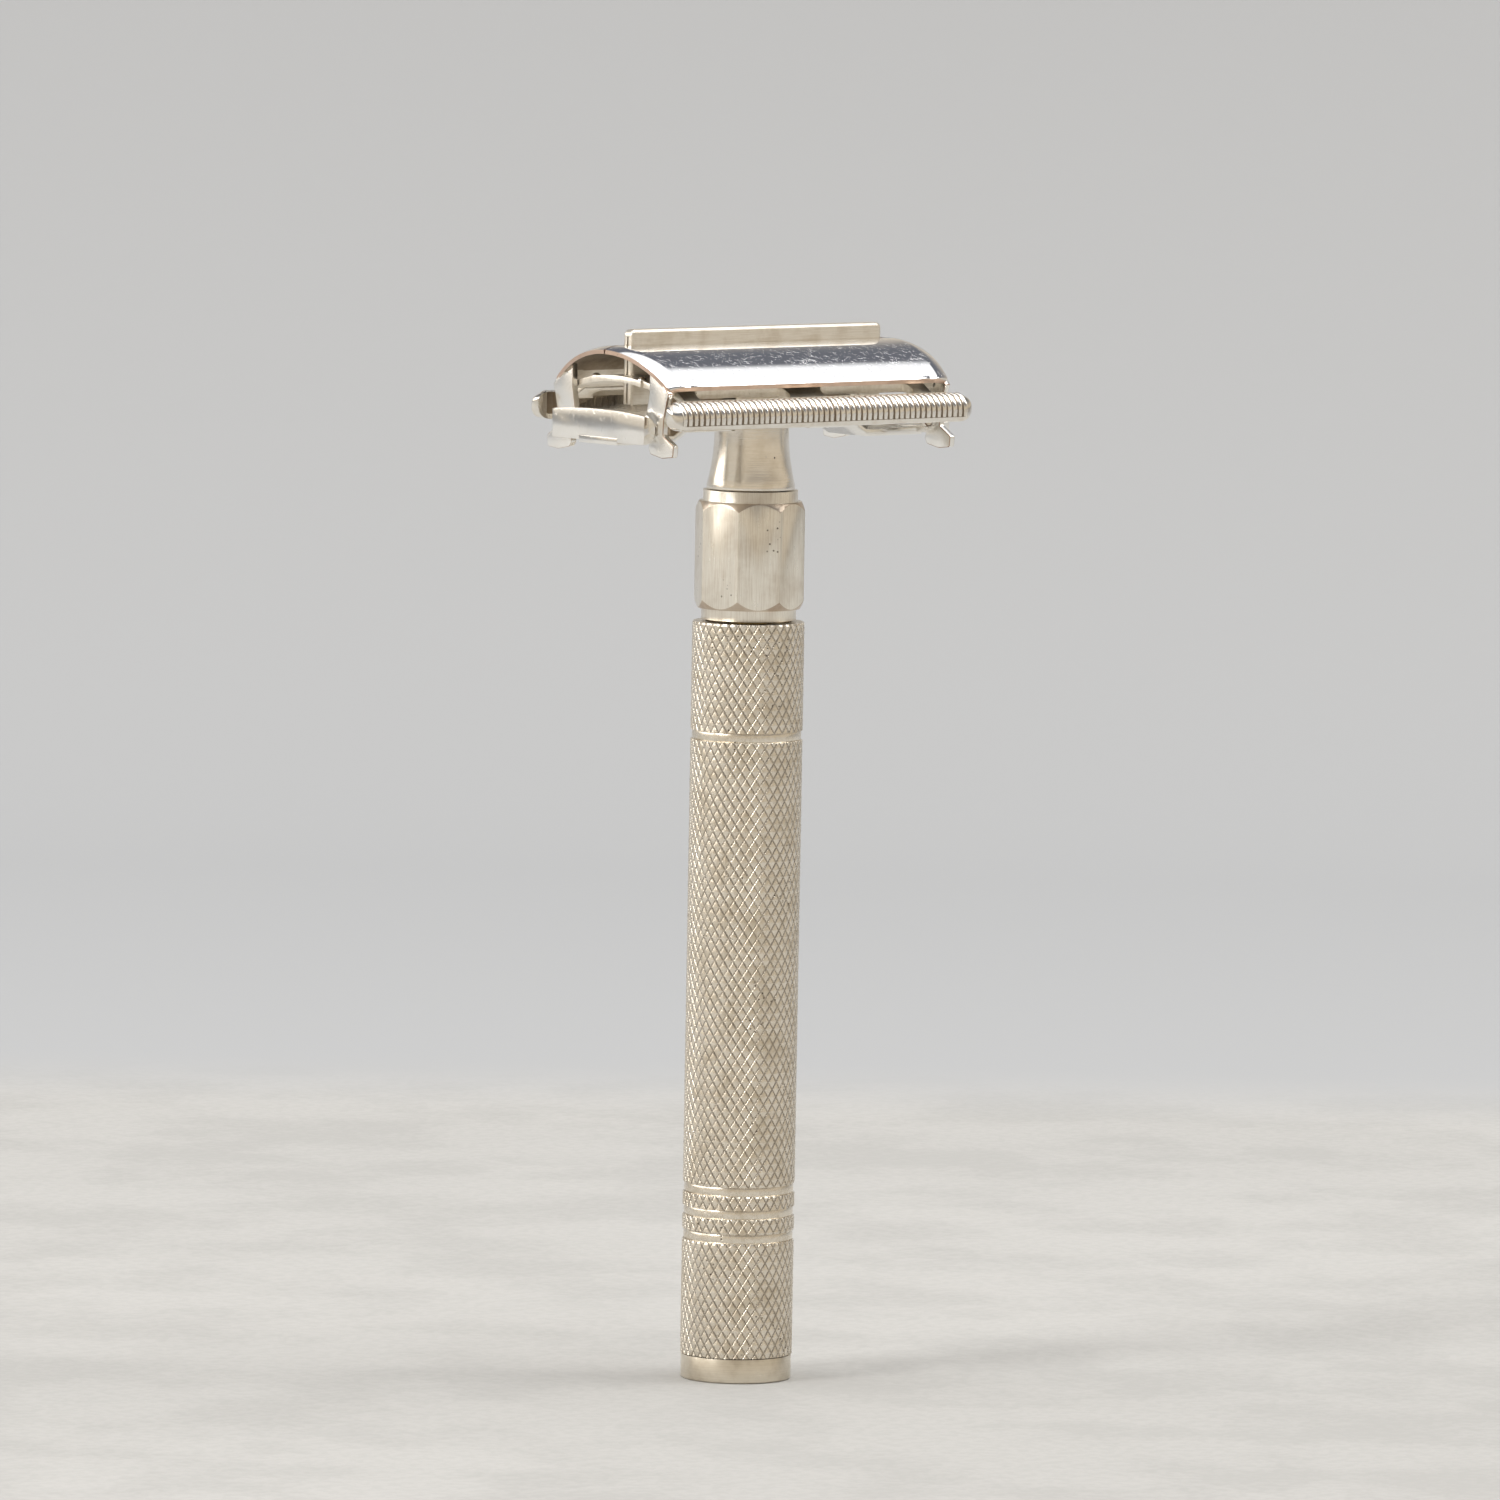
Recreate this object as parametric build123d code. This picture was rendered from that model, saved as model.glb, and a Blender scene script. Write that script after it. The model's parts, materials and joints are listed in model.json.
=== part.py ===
"""Twist-to-open double-edge safety razor, in millimetres.

The razor stands on its end cap.  The origin is the middle of the cap's lower
face, +Z runs up the handle, X runs along the head and the front guard is on
the -Y side.  The doors are closed and the blade carriage is one millimetre
above the place where it would clamp a blade.
"""
from build123d import *
import math
import os

# ---------------------------------------------------------------- handle
handle_length = 82.7        # table to the top of the knurled sleeve
handle_d = 12.2             # over the knurl
sleeve_bore = 9.4
cap_d = 12.0                # plain ring that closes the foot
cap_height = 2.65
cap_edge = 0.25             # rounding at the foot
cap_spigot = 7.0            # length held inside the sleeve
cap_gap = 0.08              # shadow line between ring and sleeve
groove_width = 1.0
groove_depth = 0.22
groove_heights = (15.8, 18.45, 20.95)   # the three rings near the foot
top_groove_drop = 12.3      # the single ring, down from the sleeve's top

# ---------------------------------------------------------------- collar
turn_gap = 0.25             # sleeve to collar, where the handle turns
collar_height = 14.05
collar_corners = 12.15      # across the corners of the octagon
collar_turn = -7.0          # degrees from square with the head
rim_d = 10.3
rim_height = 1.2
collar_chamfer = 1.0        # height of the cone that trims the corners
collar_chamfer_in = 0.52    # what the cone takes off a corner
seat_gap = 0.15             # shadow line between collar and neck

# ---------------------------------------------------------------- neck
neck_height = 7.4           # collar to the underside of the guard
neck_top_d = 8.05
neck_foot_d = 9.6
neck_lip = 0.35             # short straight land at the foot
neck_spigot_d = 7.0
neck_spigot = 4.5           # length screwed into the collar
neck_rivet_d = 1.1
neck_rivet_depth = 1.8      # into each prong of the neck

# ---------------------------------------------------------------- head
# Levels in the head are measured from the crown of the closed doors.
# Insets "in" run from a door's end, insets "deep" from a guard's outer face.
head_length = 41.6          # over the doors, at the seam
guard_span = 25.5           # over the two guard bars
door_rise = 3.95            # crown to the doors' lower edges
door_deep = 2.75            # to a door's lower edge
door_sheet = 0.65
door_end_bow = 1.2          # how much shorter a door is at its lower edge
door_corner = 0.9
seam_gap = 0.12             # half the gap between the doors
guard_past = 0.35           # how far a bar runs past a door's end
guard_width = 3.05
guard_top = -5.4
guard_bottom = -8.54
guard_nose = 1.7            # rounding of the upper outer edge
guard_keel = 0.55           # rounding of the other long edges
guard_end_round = 1.3       # rounding of the bar's ends, seen from above
guard_relief = 1.1          # notch that lets an ear pass
bed_crest = -3.2
bed_radius = 26.0
bed_deep = 4.75             # to the bed's long edge
bed_sheet = 0.65
bed_in = 1.45               # to the bed's end
bed_corner_deep = 8.35      # the bed's corners are cut away up to here
web_sheet = 0.65            # sloping web from bed to guard bar
middle_bridge = 4.7
end_bridge = 2.2
end_bridge_in = 4.5         # to the middle of an end bridge
stud_d = 1.0
stud_height = 0.35
stud_in = 2.1
stud_deep = 8.9

# ---------------------------------------------------------------- carriage
spine_thick = 1.6
spine_sheet = 0.7
spine_in = 3.15             # to the spine's end
spine_top = 1.7
spine_foot = -5.6           # lower edge over most of the length
spine_toe = -6.4            # lower edge of the end lugs
spine_toe_length = 2.6
spine_end_round = 0.7
carrier_in = 8.8
carrier_thick = 0.7
bar_top = -8.6
bar_sheet = 0.8
bar_neck_width = 3.0        # where it passes through the neck
bar_neck_length = 11.0
bar_width = 6.4
bar_crank_in = 9.0          # where the bar starts to step down
bar_crank_run = 1.8
bar_crank_drop = 1.1
tab_sheet = 0.7
tab_past = 0.73             # door's end to a tab's outer face
tab_deep = 4.96             # to a tab's upright edge
tab_top = -7.1
tab_crown = 0.35            # bow of the tab's upper edge
tab_bottom = -10.2
tab_corner = 0.5
cheek_round = 1.5
pivot_deep = 5.65           # to a hinge axis
pivot_level = -8.65
pin_d = 1.2
rod_d = 5.0
rod_length = 17.5
rod_roof = 1.6              # solid metal above the thread
rivet_head_d = 2.2
rivet_head = 0.35
rivet_d = 1.5

# ---------------------------------------------------------------- ears
ear_sheet = 0.7
ear_in = 1.3                # to the middle of an ear
ear_corner = 0.35

# ---------------------------------------------------------------- drive
screw_d = 3.3
screw_tail_d = 4.0
screw_flange_d = 7.0
screw_flange = 1.0
screw_reach = 18.0          # above the collar's lower end
screw_tail = 13.0           # below the collar's lower end
socket_length = 14.0
socket_drop = 0.6           # below the sleeve's top
drive_pin_d = 1.2
washer_sheet = 0.3
ring_sheet = 0.5
ring_groove = 0.35          # how deep the ring sits in the collar
ring_up = 0.35              # lower end of the collar to the ring

# ---------------------------------------------------------------- clearances
running_fit = 0.05          # radial, a shaft in its hole
end_play = 0.06             # along the handle, at the turning flange
slide_fit = 0.1             # each side, plates that slide past each other
clear = 0.12                # each side, parts that only pass

# ---------------------------------------------------------------- levels
collar_foot = handle_length + turn_gap
collar_top = collar_foot + collar_height
neck_foot = collar_top + seat_gap
crown = neck_foot + neck_height - guard_bottom

# ---------------------------------------------------------------- reaches
# Each one is measured from the middle of the head.
head_end = head_length / 2
ear_middle = head_end - ear_in
ear_inner_face = ear_middle - ear_sheet / 2
ear_outer_face = ear_middle + ear_sheet / 2
end_bridge_at = head_end - end_bridge_in
bar_crank_from = head_end - bar_crank_in
tab_face = head_end + tab_past
guard_length = 2 * (head_end + guard_past)
bed_length = 2 * (head_end - bed_in)
spine_length = 2 * (head_end - spine_in)
carrier_length = 2 * (head_end - carrier_in)
guard_face = guard_span / 2
guard_inner = guard_face - guard_width
door_reach = guard_face - door_deep
bed_reach = guard_face - bed_deep
bed_corner_reach = guard_face - bed_corner_deep
pivot_reach = guard_face - pivot_deep
tab_width = 2 * (guard_face - tab_deep)
stud_at = (head_end - stud_in, guard_face - stud_deep)
door_radius = (door_reach**2 + door_rise**2) / (2 * door_rise)
door_axis = crown - door_radius
bed_axis = crown + bed_crest - bed_radius
tall = 60.0                 # longer than any piece of the head


def lathe(*points):
    """Turn an outline of (radius, height) points about the handle's axis."""
    outline = make_face(Plane.XZ * Polyline(*points, close=True))
    return revolve(outline, Axis.Z)


def sheet_across(points, middle_x, thickness, corner=0.0):
    """Cut a plate that lies across the head from its (y, z) outline."""
    outline = make_face(Polyline(*points, close=True))
    if corner:
        outline = fillet(outline.vertices(), corner)
    lower_x = middle_x - thickness / 2
    return extrude(Plane.YZ.offset(lower_x) * outline, thickness)


def block(x_size, y_size, z_low, z_high, x_mid=0.0, y_mid=0.0):
    """Make a box from its plan size, its two levels and its middle."""
    height = z_high - z_low
    middle = Pos(x_mid, y_mid, (z_low + z_high) / 2)
    return middle * Box(x_size, y_size, height)


def along_head(radius, axis_z, length):
    """Make a round bar along the head about a given level."""
    return Pos(0, 0, axis_z) * Rot(0, 90, 0) * Cylinder(radius, length)


def arch(radius, axis_z, sheet, length, y_from, y_to):
    """Bend a sheet about the head's length, from one y to another.

    The edge at y_to is cut square.  So is the other where y_from is
    negative; where it isn't, the sheet is cut upright there.
    """
    inner = radius - sheet
    turn = math.asin(y_to / radius)
    start = math.asin(y_from / radius)
    start_in = start if y_from < 0 else math.asin(y_from / inner)

    def at(distance, angle):
        across = distance * math.sin(angle)
        return (across, axis_z + distance * math.cos(angle))

    top_mid = at(radius, (start + turn) / 2)
    low_mid = at(inner, (start_in + turn) / 2)
    section = make_face(
        ThreePointArc(at(radius, start), top_mid, at(radius, turn))
        + Line(at(radius, turn), at(inner, turn))
        + ThreePointArc(at(inner, turn), low_mid, at(inner, start_in))
        + Line(at(inner, start_in), at(radius, start))
    )
    return extrude(Plane.YZ.offset(-length / 2) * section, length)


def four_corners(x, y):
    """List the four mirrored places of a point."""
    signs = ((1, 1), (-1, 1), (-1, -1), (1, -1))
    return [(x * sx, y * sy) for sx, sy in signs]


# ================================================================ handle
def make_sleeve():
    """Make the knurled tube with its four turned rings."""
    outer = handle_d / 2
    foot = cap_height + cap_gap
    tube = lathe(
        (sleeve_bore / 2, foot),
        (outer, foot),
        (outer, handle_length),
        (sleeve_bore / 2, handle_length),
    )
    cutter = ((groove_width / 2)**2 + groove_depth**2) / (2 * groove_depth)
    heights = groove_heights + (handle_length - top_groove_drop,)
    for height in heights:
        ring = Torus(outer - groove_depth + cutter, cutter)
        tube -= Pos(0, 0, height) * ring
    pin_level = handle_length - socket_drop - socket_length / 2
    tube -= Pos(0, 0, pin_level) * drive_pin_hole()
    return tube


def make_end_cap():
    """Make the plain ring that closes the foot, with its spigot."""
    ring = Pos(0, 0, cap_height / 2) * Cylinder(cap_d / 2, cap_height)
    ring = fillet(ring.edges().group_by(Axis.Z)[0], cap_edge)
    top = cap_height + cap_gap + cap_spigot
    spigot = lathe(
        (0, cap_height),
        (sleeve_bore / 2, cap_height),
        (sleeve_bore / 2, top),
        (0, top),
    )
    return ring + spigot


def drive_pin_hole():
    """Make the cutter for the cross pin, through socket and screw."""
    return Rot(0, 90, 0) * Cylinder(drive_pin_d / 2, sleeve_bore)


def make_drive_pin():
    """Make the pin that locks the screw in its socket."""
    level = handle_length - socket_drop - socket_length / 2
    return Pos(0, 0, level) * drive_pin_hole()


def make_screw_socket():
    """Make the plug that joins the sleeve to the lead screw."""
    top = handle_length - socket_drop
    foot = top - socket_length
    plug = lathe(
        (screw_tail_d / 2, foot),
        (sleeve_bore / 2, foot),
        (sleeve_bore / 2, top),
        (screw_tail_d / 2, top),
    )
    return plug - make_drive_pin()


def make_lead_screw():
    """Make the screw: tail, turning flange and threaded end."""
    flange_top = collar_foot + ring_up + ring_sheet + end_play + screw_flange
    flange_foot = flange_top - screw_flange
    tail_foot = collar_foot - screw_tail
    end = collar_foot + screw_reach
    point = 0.4
    screw = lathe(
        (0, tail_foot),
        (screw_tail_d / 2, tail_foot),
        (screw_tail_d / 2, flange_foot),
        (screw_flange_d / 2, flange_foot),
        (screw_flange_d / 2, flange_top),
        (screw_d / 2, flange_top),
        (screw_d / 2, end - point),
        (screw_d / 2 - point, end),
        (0, end),
    )
    return screw - make_drive_pin()


# ================================================================ fixed head
def make_collar():
    """Make the octagonal grip with its two round rims."""
    corner = collar_corners / 2
    low = collar_foot + rim_height
    high = collar_top - rim_height
    prism = extrude(RegularPolygon(corner, 8, rotation=collar_turn), high - low)
    prism = Pos(0, 0, low) * prism
    cone = lathe(
        (0, low),
        (corner - collar_chamfer_in, low),
        (corner, low + collar_chamfer),
        (corner, high - collar_chamfer),
        (corner - collar_chamfer_in, high),
        (0, high),
    )
    rims = Cylinder(rim_d / 2, collar_height)
    collar = (prism & cone) + Pos(0, 0, (collar_foot + collar_top) / 2) * rims
    flange_room = screw_flange_d / 2 + clear
    shoulder = washer_top()
    ring_low = collar_foot + ring_up
    ring_high = ring_low + ring_sheet
    bore = lathe(
        (0, collar_foot - 1),
        (flange_room, collar_foot - 1),
        (flange_room, ring_low),
        (flange_room + ring_groove, ring_low),
        (flange_room + ring_groove, ring_high),
        (flange_room, ring_high),
        (flange_room, shoulder),
        (rod_d / 2 + clear, shoulder),
        (rod_d / 2 + clear, collar_top - neck_spigot),
        (neck_spigot_d / 2, collar_top - neck_spigot),
        (neck_spigot_d / 2, collar_top + 1),
        (0, collar_top + 1),
    )
    return collar - bore


def washer_top():
    """Return the level of the collar's inner shoulder."""
    ring_high = collar_foot + ring_up + ring_sheet
    return ring_high + end_play + screw_flange + end_play + washer_sheet


def make_thrust_washer():
    """Make the washer between the screw's flange and the collar."""
    inner = screw_d / 2 + clear
    outer = screw_flange_d / 2 + clear
    high = washer_top()
    low = high - washer_sheet
    return lathe((inner, low), (outer, low), (outer, high), (inner, high))


def make_retaining_ring():
    """Make the split ring that holds the screw's flange in the collar."""
    low = collar_foot + ring_up
    high = low + ring_sheet
    inner = screw_tail_d / 2 + 3 * clear
    outer = screw_flange_d / 2 + clear + ring_groove
    ring = lathe((inner, low), (outer, low), (outer, high), (inner, high))
    slot = block(outer, 1.2, low - 1, high + 1, x_mid=outer / 2)
    return ring - slot


def make_neck():
    """Make the waisted neck, forked at the top for the cross bar."""
    top_r = neck_top_d / 2
    foot_r = neck_foot_d / 2
    guard_level = crown + guard_bottom
    straight = guard_level - 1.0
    land = neck_foot + neck_lip
    waist = (land + straight) / 2
    waist_r = top_r + 0.26 * (foot_r - top_r)
    side = (
        Polyline(
            (0, neck_foot - neck_spigot),
            (neck_spigot_d / 2, neck_foot - neck_spigot),
            (neck_spigot_d / 2, neck_foot),
            (foot_r, neck_foot),
            (foot_r, land),
        )
        + ThreePointArc((foot_r, land), (waist_r, waist), (top_r, straight))
        + Polyline((top_r, straight), (top_r, crown), (0, crown))
        + Line((0, crown), (0, neck_foot - neck_spigot))
    )
    neck = revolve(make_face(Plane.XZ * side), Axis.Z)
    neck &= along_head(bed_radius - bed_sheet, bed_axis, tall)
    bore_r = rod_d / 2 + running_fit
    bore_mid = (collar_foot + crown) / 2
    neck -= Pos(0, 0, bore_mid) * Cylinder(bore_r, tall)
    slot_width = bar_neck_width + 2 * slide_fit
    slot_foot = crown + bar_top - bar_sheet - clear
    neck -= block(neck_foot_d, slot_width, slot_foot, crown)
    return neck - make_neck_rivets()


def make_neck_rivets():
    """Make the two pins that hold the bed on the neck's prongs."""
    at = (rod_d / 2 + running_fit + neck_top_d / 2) / 2
    drop = bed_radius - math.sqrt(bed_radius**2 - at**2)
    high = crown + bed_crest - drop
    low = high - bed_sheet - neck_rivet_depth
    pins = []
    for side in (-1, 1):
        pin = Cylinder(neck_rivet_d / 2, high - low)
        pins.append(Pos(0, side * at, (high + low) / 2) * pin)
    return Compound(children=pins)


def guard_bar():
    """Make the rear guard bar; the front one is its mirror image."""
    outer = guard_span / 2
    inner = guard_inner
    low = crown + guard_bottom
    high = crown + guard_top
    outline = make_face(
        Polyline(
            (inner, low), (outer, low), (outer, high), (inner, high), close=True
        )
    )
    nose = outline.vertices().sort_by(lambda v: v.X + v.Y)[-1]
    outline = fillet(nose, guard_nose)
    others = [v for v in outline.vertices() if v.Y < low + 0.01 or v.X < inner + 0.01]
    outline = fillet(others, guard_keel)
    bar = extrude(Plane.YZ.offset(-guard_length / 2) * outline, guard_length)
    plan = RectangleRounded(guard_length, guard_span, guard_end_round)
    bar &= Pos(0, 0, low - 1) * extrude(plan, high - low + 2)
    relief_x = guard_length / 2 - (ear_inner_face - clear)
    for side in (-1, 1):
        bar -= block(
            2 * relief_x,
            2 * guard_relief,
            low - 1,
            high + 1,
            x_mid=side * guard_length / 2,
            y_mid=inner,
        )
    return bar


def guard_web():
    """Make the sloping web behind the rear bar, cut into three bridges."""
    drop = bed_radius - math.sqrt(bed_radius**2 - bed_reach**2)
    bed_edge = crown + bed_crest - drop
    seat = crown + guard_top - guard_keel
    outline = [
        (bed_reach - 0.6, bed_edge + 0.12),
        (bed_reach, bed_edge),
        (guard_inner + 0.5, seat),
        (guard_inner + 0.5, seat - web_sheet),
        (bed_reach - 0.6, bed_edge - web_sheet),
    ]
    length = 2 * end_bridge_at + end_bridge
    web = sheet_across(outline, 0, length)
    slot_run = end_bridge_at - end_bridge / 2 - middle_bridge / 2
    slot_mid = (end_bridge_at - end_bridge / 2 + middle_bridge / 2) / 2
    slot_width = guard_inner - bed_reach
    y_mid = (guard_inner + bed_reach) / 2
    for side in (-1, 1):
        slot = extrude(SlotOverall(slot_run, slot_width), 12)
        web -= Pos(side * slot_mid, y_mid, crown - 12) * slot
    return web


def make_guard_plate():
    """Make the blade bed, the bridges and the two guard bars in one piece."""
    bed = arch(
        bed_radius, bed_axis, bed_sheet, bed_length, -bed_reach, bed_reach
    )
    half = bed_length / 2
    corner_x = half - (ear_inner_face - clear)
    corner_y = bed_reach - bed_corner_reach
    for x, y in four_corners(half, bed_reach):
        bed -= block(2 * corner_x, 2 * corner_y, crown - 12, crown, x, y)
    side = guard_web() + guard_bar()
    plate = bed + side + mirror(side, Plane.XZ)
    slot_x = spine_length + 2 * slide_fit
    slot_y = spine_thick + 2 * slide_fit
    plate -= block(slot_x, slot_y, crown - 6, crown)
    plate -= make_neck_rivets()
    return plate - make_blade_studs()


def make_blade_studs():
    """Make the four small domed studs that locate the blade."""
    x_at, y_at = stud_at
    drop = bed_radius - math.sqrt(bed_radius**2 - y_at**2)
    seat = crown + bed_crest - drop
    shank = bed_sheet * 0.7
    sphere_r = (stud_d**2 / 4 + stud_height**2) / (2 * stud_height)
    studs = []
    for x, y in four_corners(x_at, y_at):
        dome = Pos(0, 0, seat + stud_height - sphere_r) * Sphere(sphere_r)
        height = stud_height + shank
        column = Pos(0, 0, seat - shank + height / 2)
        studs.append(Pos(x, y, 0) * (dome & column * Cylinder(stud_d / 2, height)))
    return Compound(children=studs)


# ================================================================ carriage
def make_spine():
    """Make the folded ridge that pushes up between the doors."""
    half = spine_length / 2
    thick = spine_thick
    top = crown + spine_top
    foot = crown + spine_foot
    toe = crown + spine_toe
    outline = make_face(
        Polyline((-half, toe), (half, toe), (half, top), (-half, top), close=True)
    )
    ends = [v for v in outline.vertices() if v.Y > top - 0.01]
    outline = fillet(ends, spine_end_round)
    bar = extrude(Plane.XZ.offset(-thick / 2) * outline, thick)
    bar -= block(
        spine_length - 2 * spine_toe_length, thick + 1, toe - 1, foot
    )
    edge = [e for e in bar.edges().filter_by(GeomType.LINE) if e.center().Z > top - 0.01]
    bar = fillet(edge, thick * 0.3)
    fold = thick - 2 * spine_sheet
    return bar - block(spine_length + 1, fold, toe - 1, top - thick / 2)


def make_spine_carrier():
    """Make the upright plate that stands on the cross bar."""
    return block(
        carrier_length, carrier_thick, crown + bar_top, crown + spine_foot
    )


def make_cross_bar():
    """Make the strap under the head, narrow at the neck, cranked down."""
    reach = tab_face
    high = crown + bar_top
    side = [
        (0, high),
        (bar_crank_from, high),
        (bar_crank_from + bar_crank_run, high - bar_crank_drop),
        (reach, high - bar_crank_drop),
        (reach, high - bar_crank_drop - bar_sheet),
        (bar_crank_from + bar_crank_run, high - bar_crank_drop - bar_sheet),
        (bar_crank_from, high - bar_sheet),
        (0, high - bar_sheet),
    ]
    half = extrude(Plane.XZ * make_face(Polyline(*side, close=True)), bar_width / 2, both=True)
    bar = half + mirror(half, Plane.YZ)
    cut = (bar_width - bar_neck_width) / 2
    waist = RectangleRounded(bar_neck_length, 2 * cut, cut * 0.45)
    for y_side in (-1, 1):
        tool = extrude(waist, 4)
        bar -= Pos(0, y_side * bar_width / 2, high - bar_sheet - 1) * tool
    hole = Pos(0, 0, high - bar_sheet / 2) * Cylinder(rivet_d / 2, bar_sheet)
    return bar - hole


def make_end_tab(side):
    """Make one end tab: face plate, bent cheeks and pin holes."""
    half = tab_width / 2
    top = crown + tab_top
    low = crown + tab_bottom
    notch = crown + bar_top - bar_crank_drop
    sill = bar_width / 2
    outline = make_face(
        Polyline((-half, top), (-half, low), (half, low), (half, top))
        + ThreePointArc((half, top), (0, top + tab_crown), (-half, top))
    )
    outline = fillet(outline.vertices(), tab_corner)
    inner_x = tab_face - tab_sheet
    plate = extrude(Plane.YZ.offset(inner_x) * outline, tab_sheet)
    plate -= block(4, 2 * sill, low - 1, notch, x_mid=tab_face)
    cheek_end = ear_outer_face + clear
    level = crown + pivot_level
    for y_side in (-1, 1):
        centre_x = cheek_end + cheek_round
        disc = Rot(90, 0, 0) * Cylinder(cheek_round, tab_sheet)
        tongue = block(
            tab_face - centre_x,
            tab_sheet,
            level - cheek_round,
            level + cheek_round,
            x_mid=(tab_face + centre_x) / 2,
        )
        cheek = Pos(centre_x, 0, level) * disc
        inside = block(tab_face - cheek_end, tab_sheet, low, top, x_mid=(tab_face + cheek_end) / 2)
        cheek = (cheek + tongue) & inside
        plate += Pos(0, y_side * (half - tab_sheet / 2), 0) * cheek
    if side < 0:
        plate = mirror(plate, Plane.YZ)
    return plate - make_hinge_pins()


def make_hinge_pins():
    """Make the four stub pins that the doors turn on."""
    start = ear_inner_face
    end = tab_face - tab_sheet * 0.4
    pins = []
    for x, y in four_corners((start + end) / 2, pivot_reach):
        stub = Rot(0, 90, 0) * Cylinder(pin_d / 2, end - start)
        pins.append(Pos(x, y, crown + pivot_level) * stub)
    return Compound(children=pins)


def make_lift_rod():
    """Make the rod whose thread rides on the lead screw."""
    high = crown + bar_top - bar_sheet
    low = high - rod_length
    roof = high - rod_roof
    bore = screw_d / 2 + running_fit
    rod = lathe(
        (bore, low),
        (rod_d / 2, low),
        (rod_d / 2, high),
        (0, high),
        (0, roof),
        (bore, roof),
    )
    return rod - rivet_shank()


def rivet_shank():
    """Make the shank of the rivet that joins bar and rod."""
    high = crown + bar_top
    low = high - bar_sheet - rod_roof * 0.6
    return Pos(0, 0, (high + low) / 2) * Cylinder(rivet_d / 2, high - low)


def make_rod_rivet():
    """Make the rivet; its shank is in the bar and the rod."""
    return rivet_shank()


# ================================================================ doors
def ear_outline(side):
    """Give the (y, z) outline of an ear, from door to foot."""
    reach = door_reach - 0.06
    p = pivot_reach
    z = pivot_level
    # Across and up from the hinge axis, outwards positive.
    points = [
        (p - 0.5, 0.0),
        (reach, 0.0),
        (reach, -door_rise - 0.3),
        (p + 2.35, z + 3.15),
        (p + 1.85, z + 1.05),
        (p + 1.8, z - 0.5),
        (p + 3.6, z - 1.55),
        (p + 3.5, z - 2.75),
        (p + 1.7, z - 2.95),
        (p - 0.2, z - 2.6),
        (p - 0.6, z - 2.0),
        (p - 0.35, z - 1.35),
        (p - 1.2, z - 0.6),
        (p - 1.15, z + 1.15),
        (p - 0.6, z + 3.85),
    ]
    return [(side * y, crown + level) for y, level in points]


def make_ears(side):
    """Make the two ears of one door, which carry it on its pins."""
    ears = []
    for x in (-ear_middle, ear_middle):
        ear = sheet_across(ear_outline(side), x, ear_sheet, ear_corner)
        ear &= along_head(door_radius - door_sheet, door_axis, tall)
        hole = Cylinder(pin_d / 2 + running_fit, 2 * ear_sheet)
        hole = Pos(x, side * pivot_reach, crown + pivot_level) * Rot(0, 90, 0) * hole
        ears.append(ear - hole)
    return Compound(children=ears)


def make_door(side):
    """Make one arched door with bowed ends and room for the spine."""
    half = head_end
    low_half = half - door_end_bow
    past = door_reach + 0.05
    shell = arch(
        door_radius, door_axis, door_sheet, tall, seam_gap, door_reach
    )
    bow_x = half - door_end_bow * 0.27
    plan = make_face(
        Line((-half, 0), (half, 0))
        + ThreePointArc((half, 0), (bow_x, past / 2), (low_half, past))
        + Line((low_half, past), (-low_half, past))
        + ThreePointArc((-low_half, past), (-bow_x, past / 2), (-half, 0))
    )
    corners = [v for v in plan.vertices() if v.Y > door_reach]
    plan = fillet(corners, door_corner)
    door = shell & (Pos(0, 0, crown - 8) * extrude(plan, 10))
    gap = 2 * (spine_thick / 2 + slide_fit)
    door -= block(spine_length + 4 * slide_fit, gap, crown - 3, crown + 1)
    if side < 0:
        door = mirror(door, Plane.XZ)
    return door


nodes = {
    "handle_sleeve": make_sleeve(),
    "end_cap": make_end_cap(),
    "screw_socket": make_screw_socket(),
    "drive_pin": make_drive_pin(),
    "lead_screw": make_lead_screw(),
    "collar": make_collar(),
    "thrust_washer": make_thrust_washer(),
    "retaining_ring": make_retaining_ring(),
    "neck": make_neck(),
    "neck_rivets": make_neck_rivets(),
    "guard_plate": make_guard_plate(),
    "blade_studs": make_blade_studs(),
    "spine": make_spine(),
    "spine_carrier": make_spine_carrier(),
    "cross_bar": make_cross_bar(),
    "left_end_tab": make_end_tab(-1),
    "right_end_tab": make_end_tab(1),
    "hinge_pins": make_hinge_pins(),
    "lift_rod": make_lift_rod(),
    "rod_rivet": make_rod_rivet(),
    "front_door": make_door(-1),
    "front_door_ears": make_ears(-1),
    "rear_door": make_door(1),
    "rear_door_ears": make_ears(1),
}

os.makedirs("parts", exist_ok=True)
for name, shape in nodes.items():
    export_step(shape, f"parts/{name}.step")
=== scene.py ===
"""Studio scene of a twist-to-open safety razor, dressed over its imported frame.

Sizes are in millimetres and become metres where a mesh is made.  Levels in
the head are measured from the crown of the closed doors.
"""

import json
import logging
import math
from contextlib import contextmanager
from dataclasses import dataclass, field
from enum import Enum, IntEnum
from typing import Iterable, Iterator, Sequence, Union

import bmesh
import bpy
from mathutils import Matrix, Vector

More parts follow.
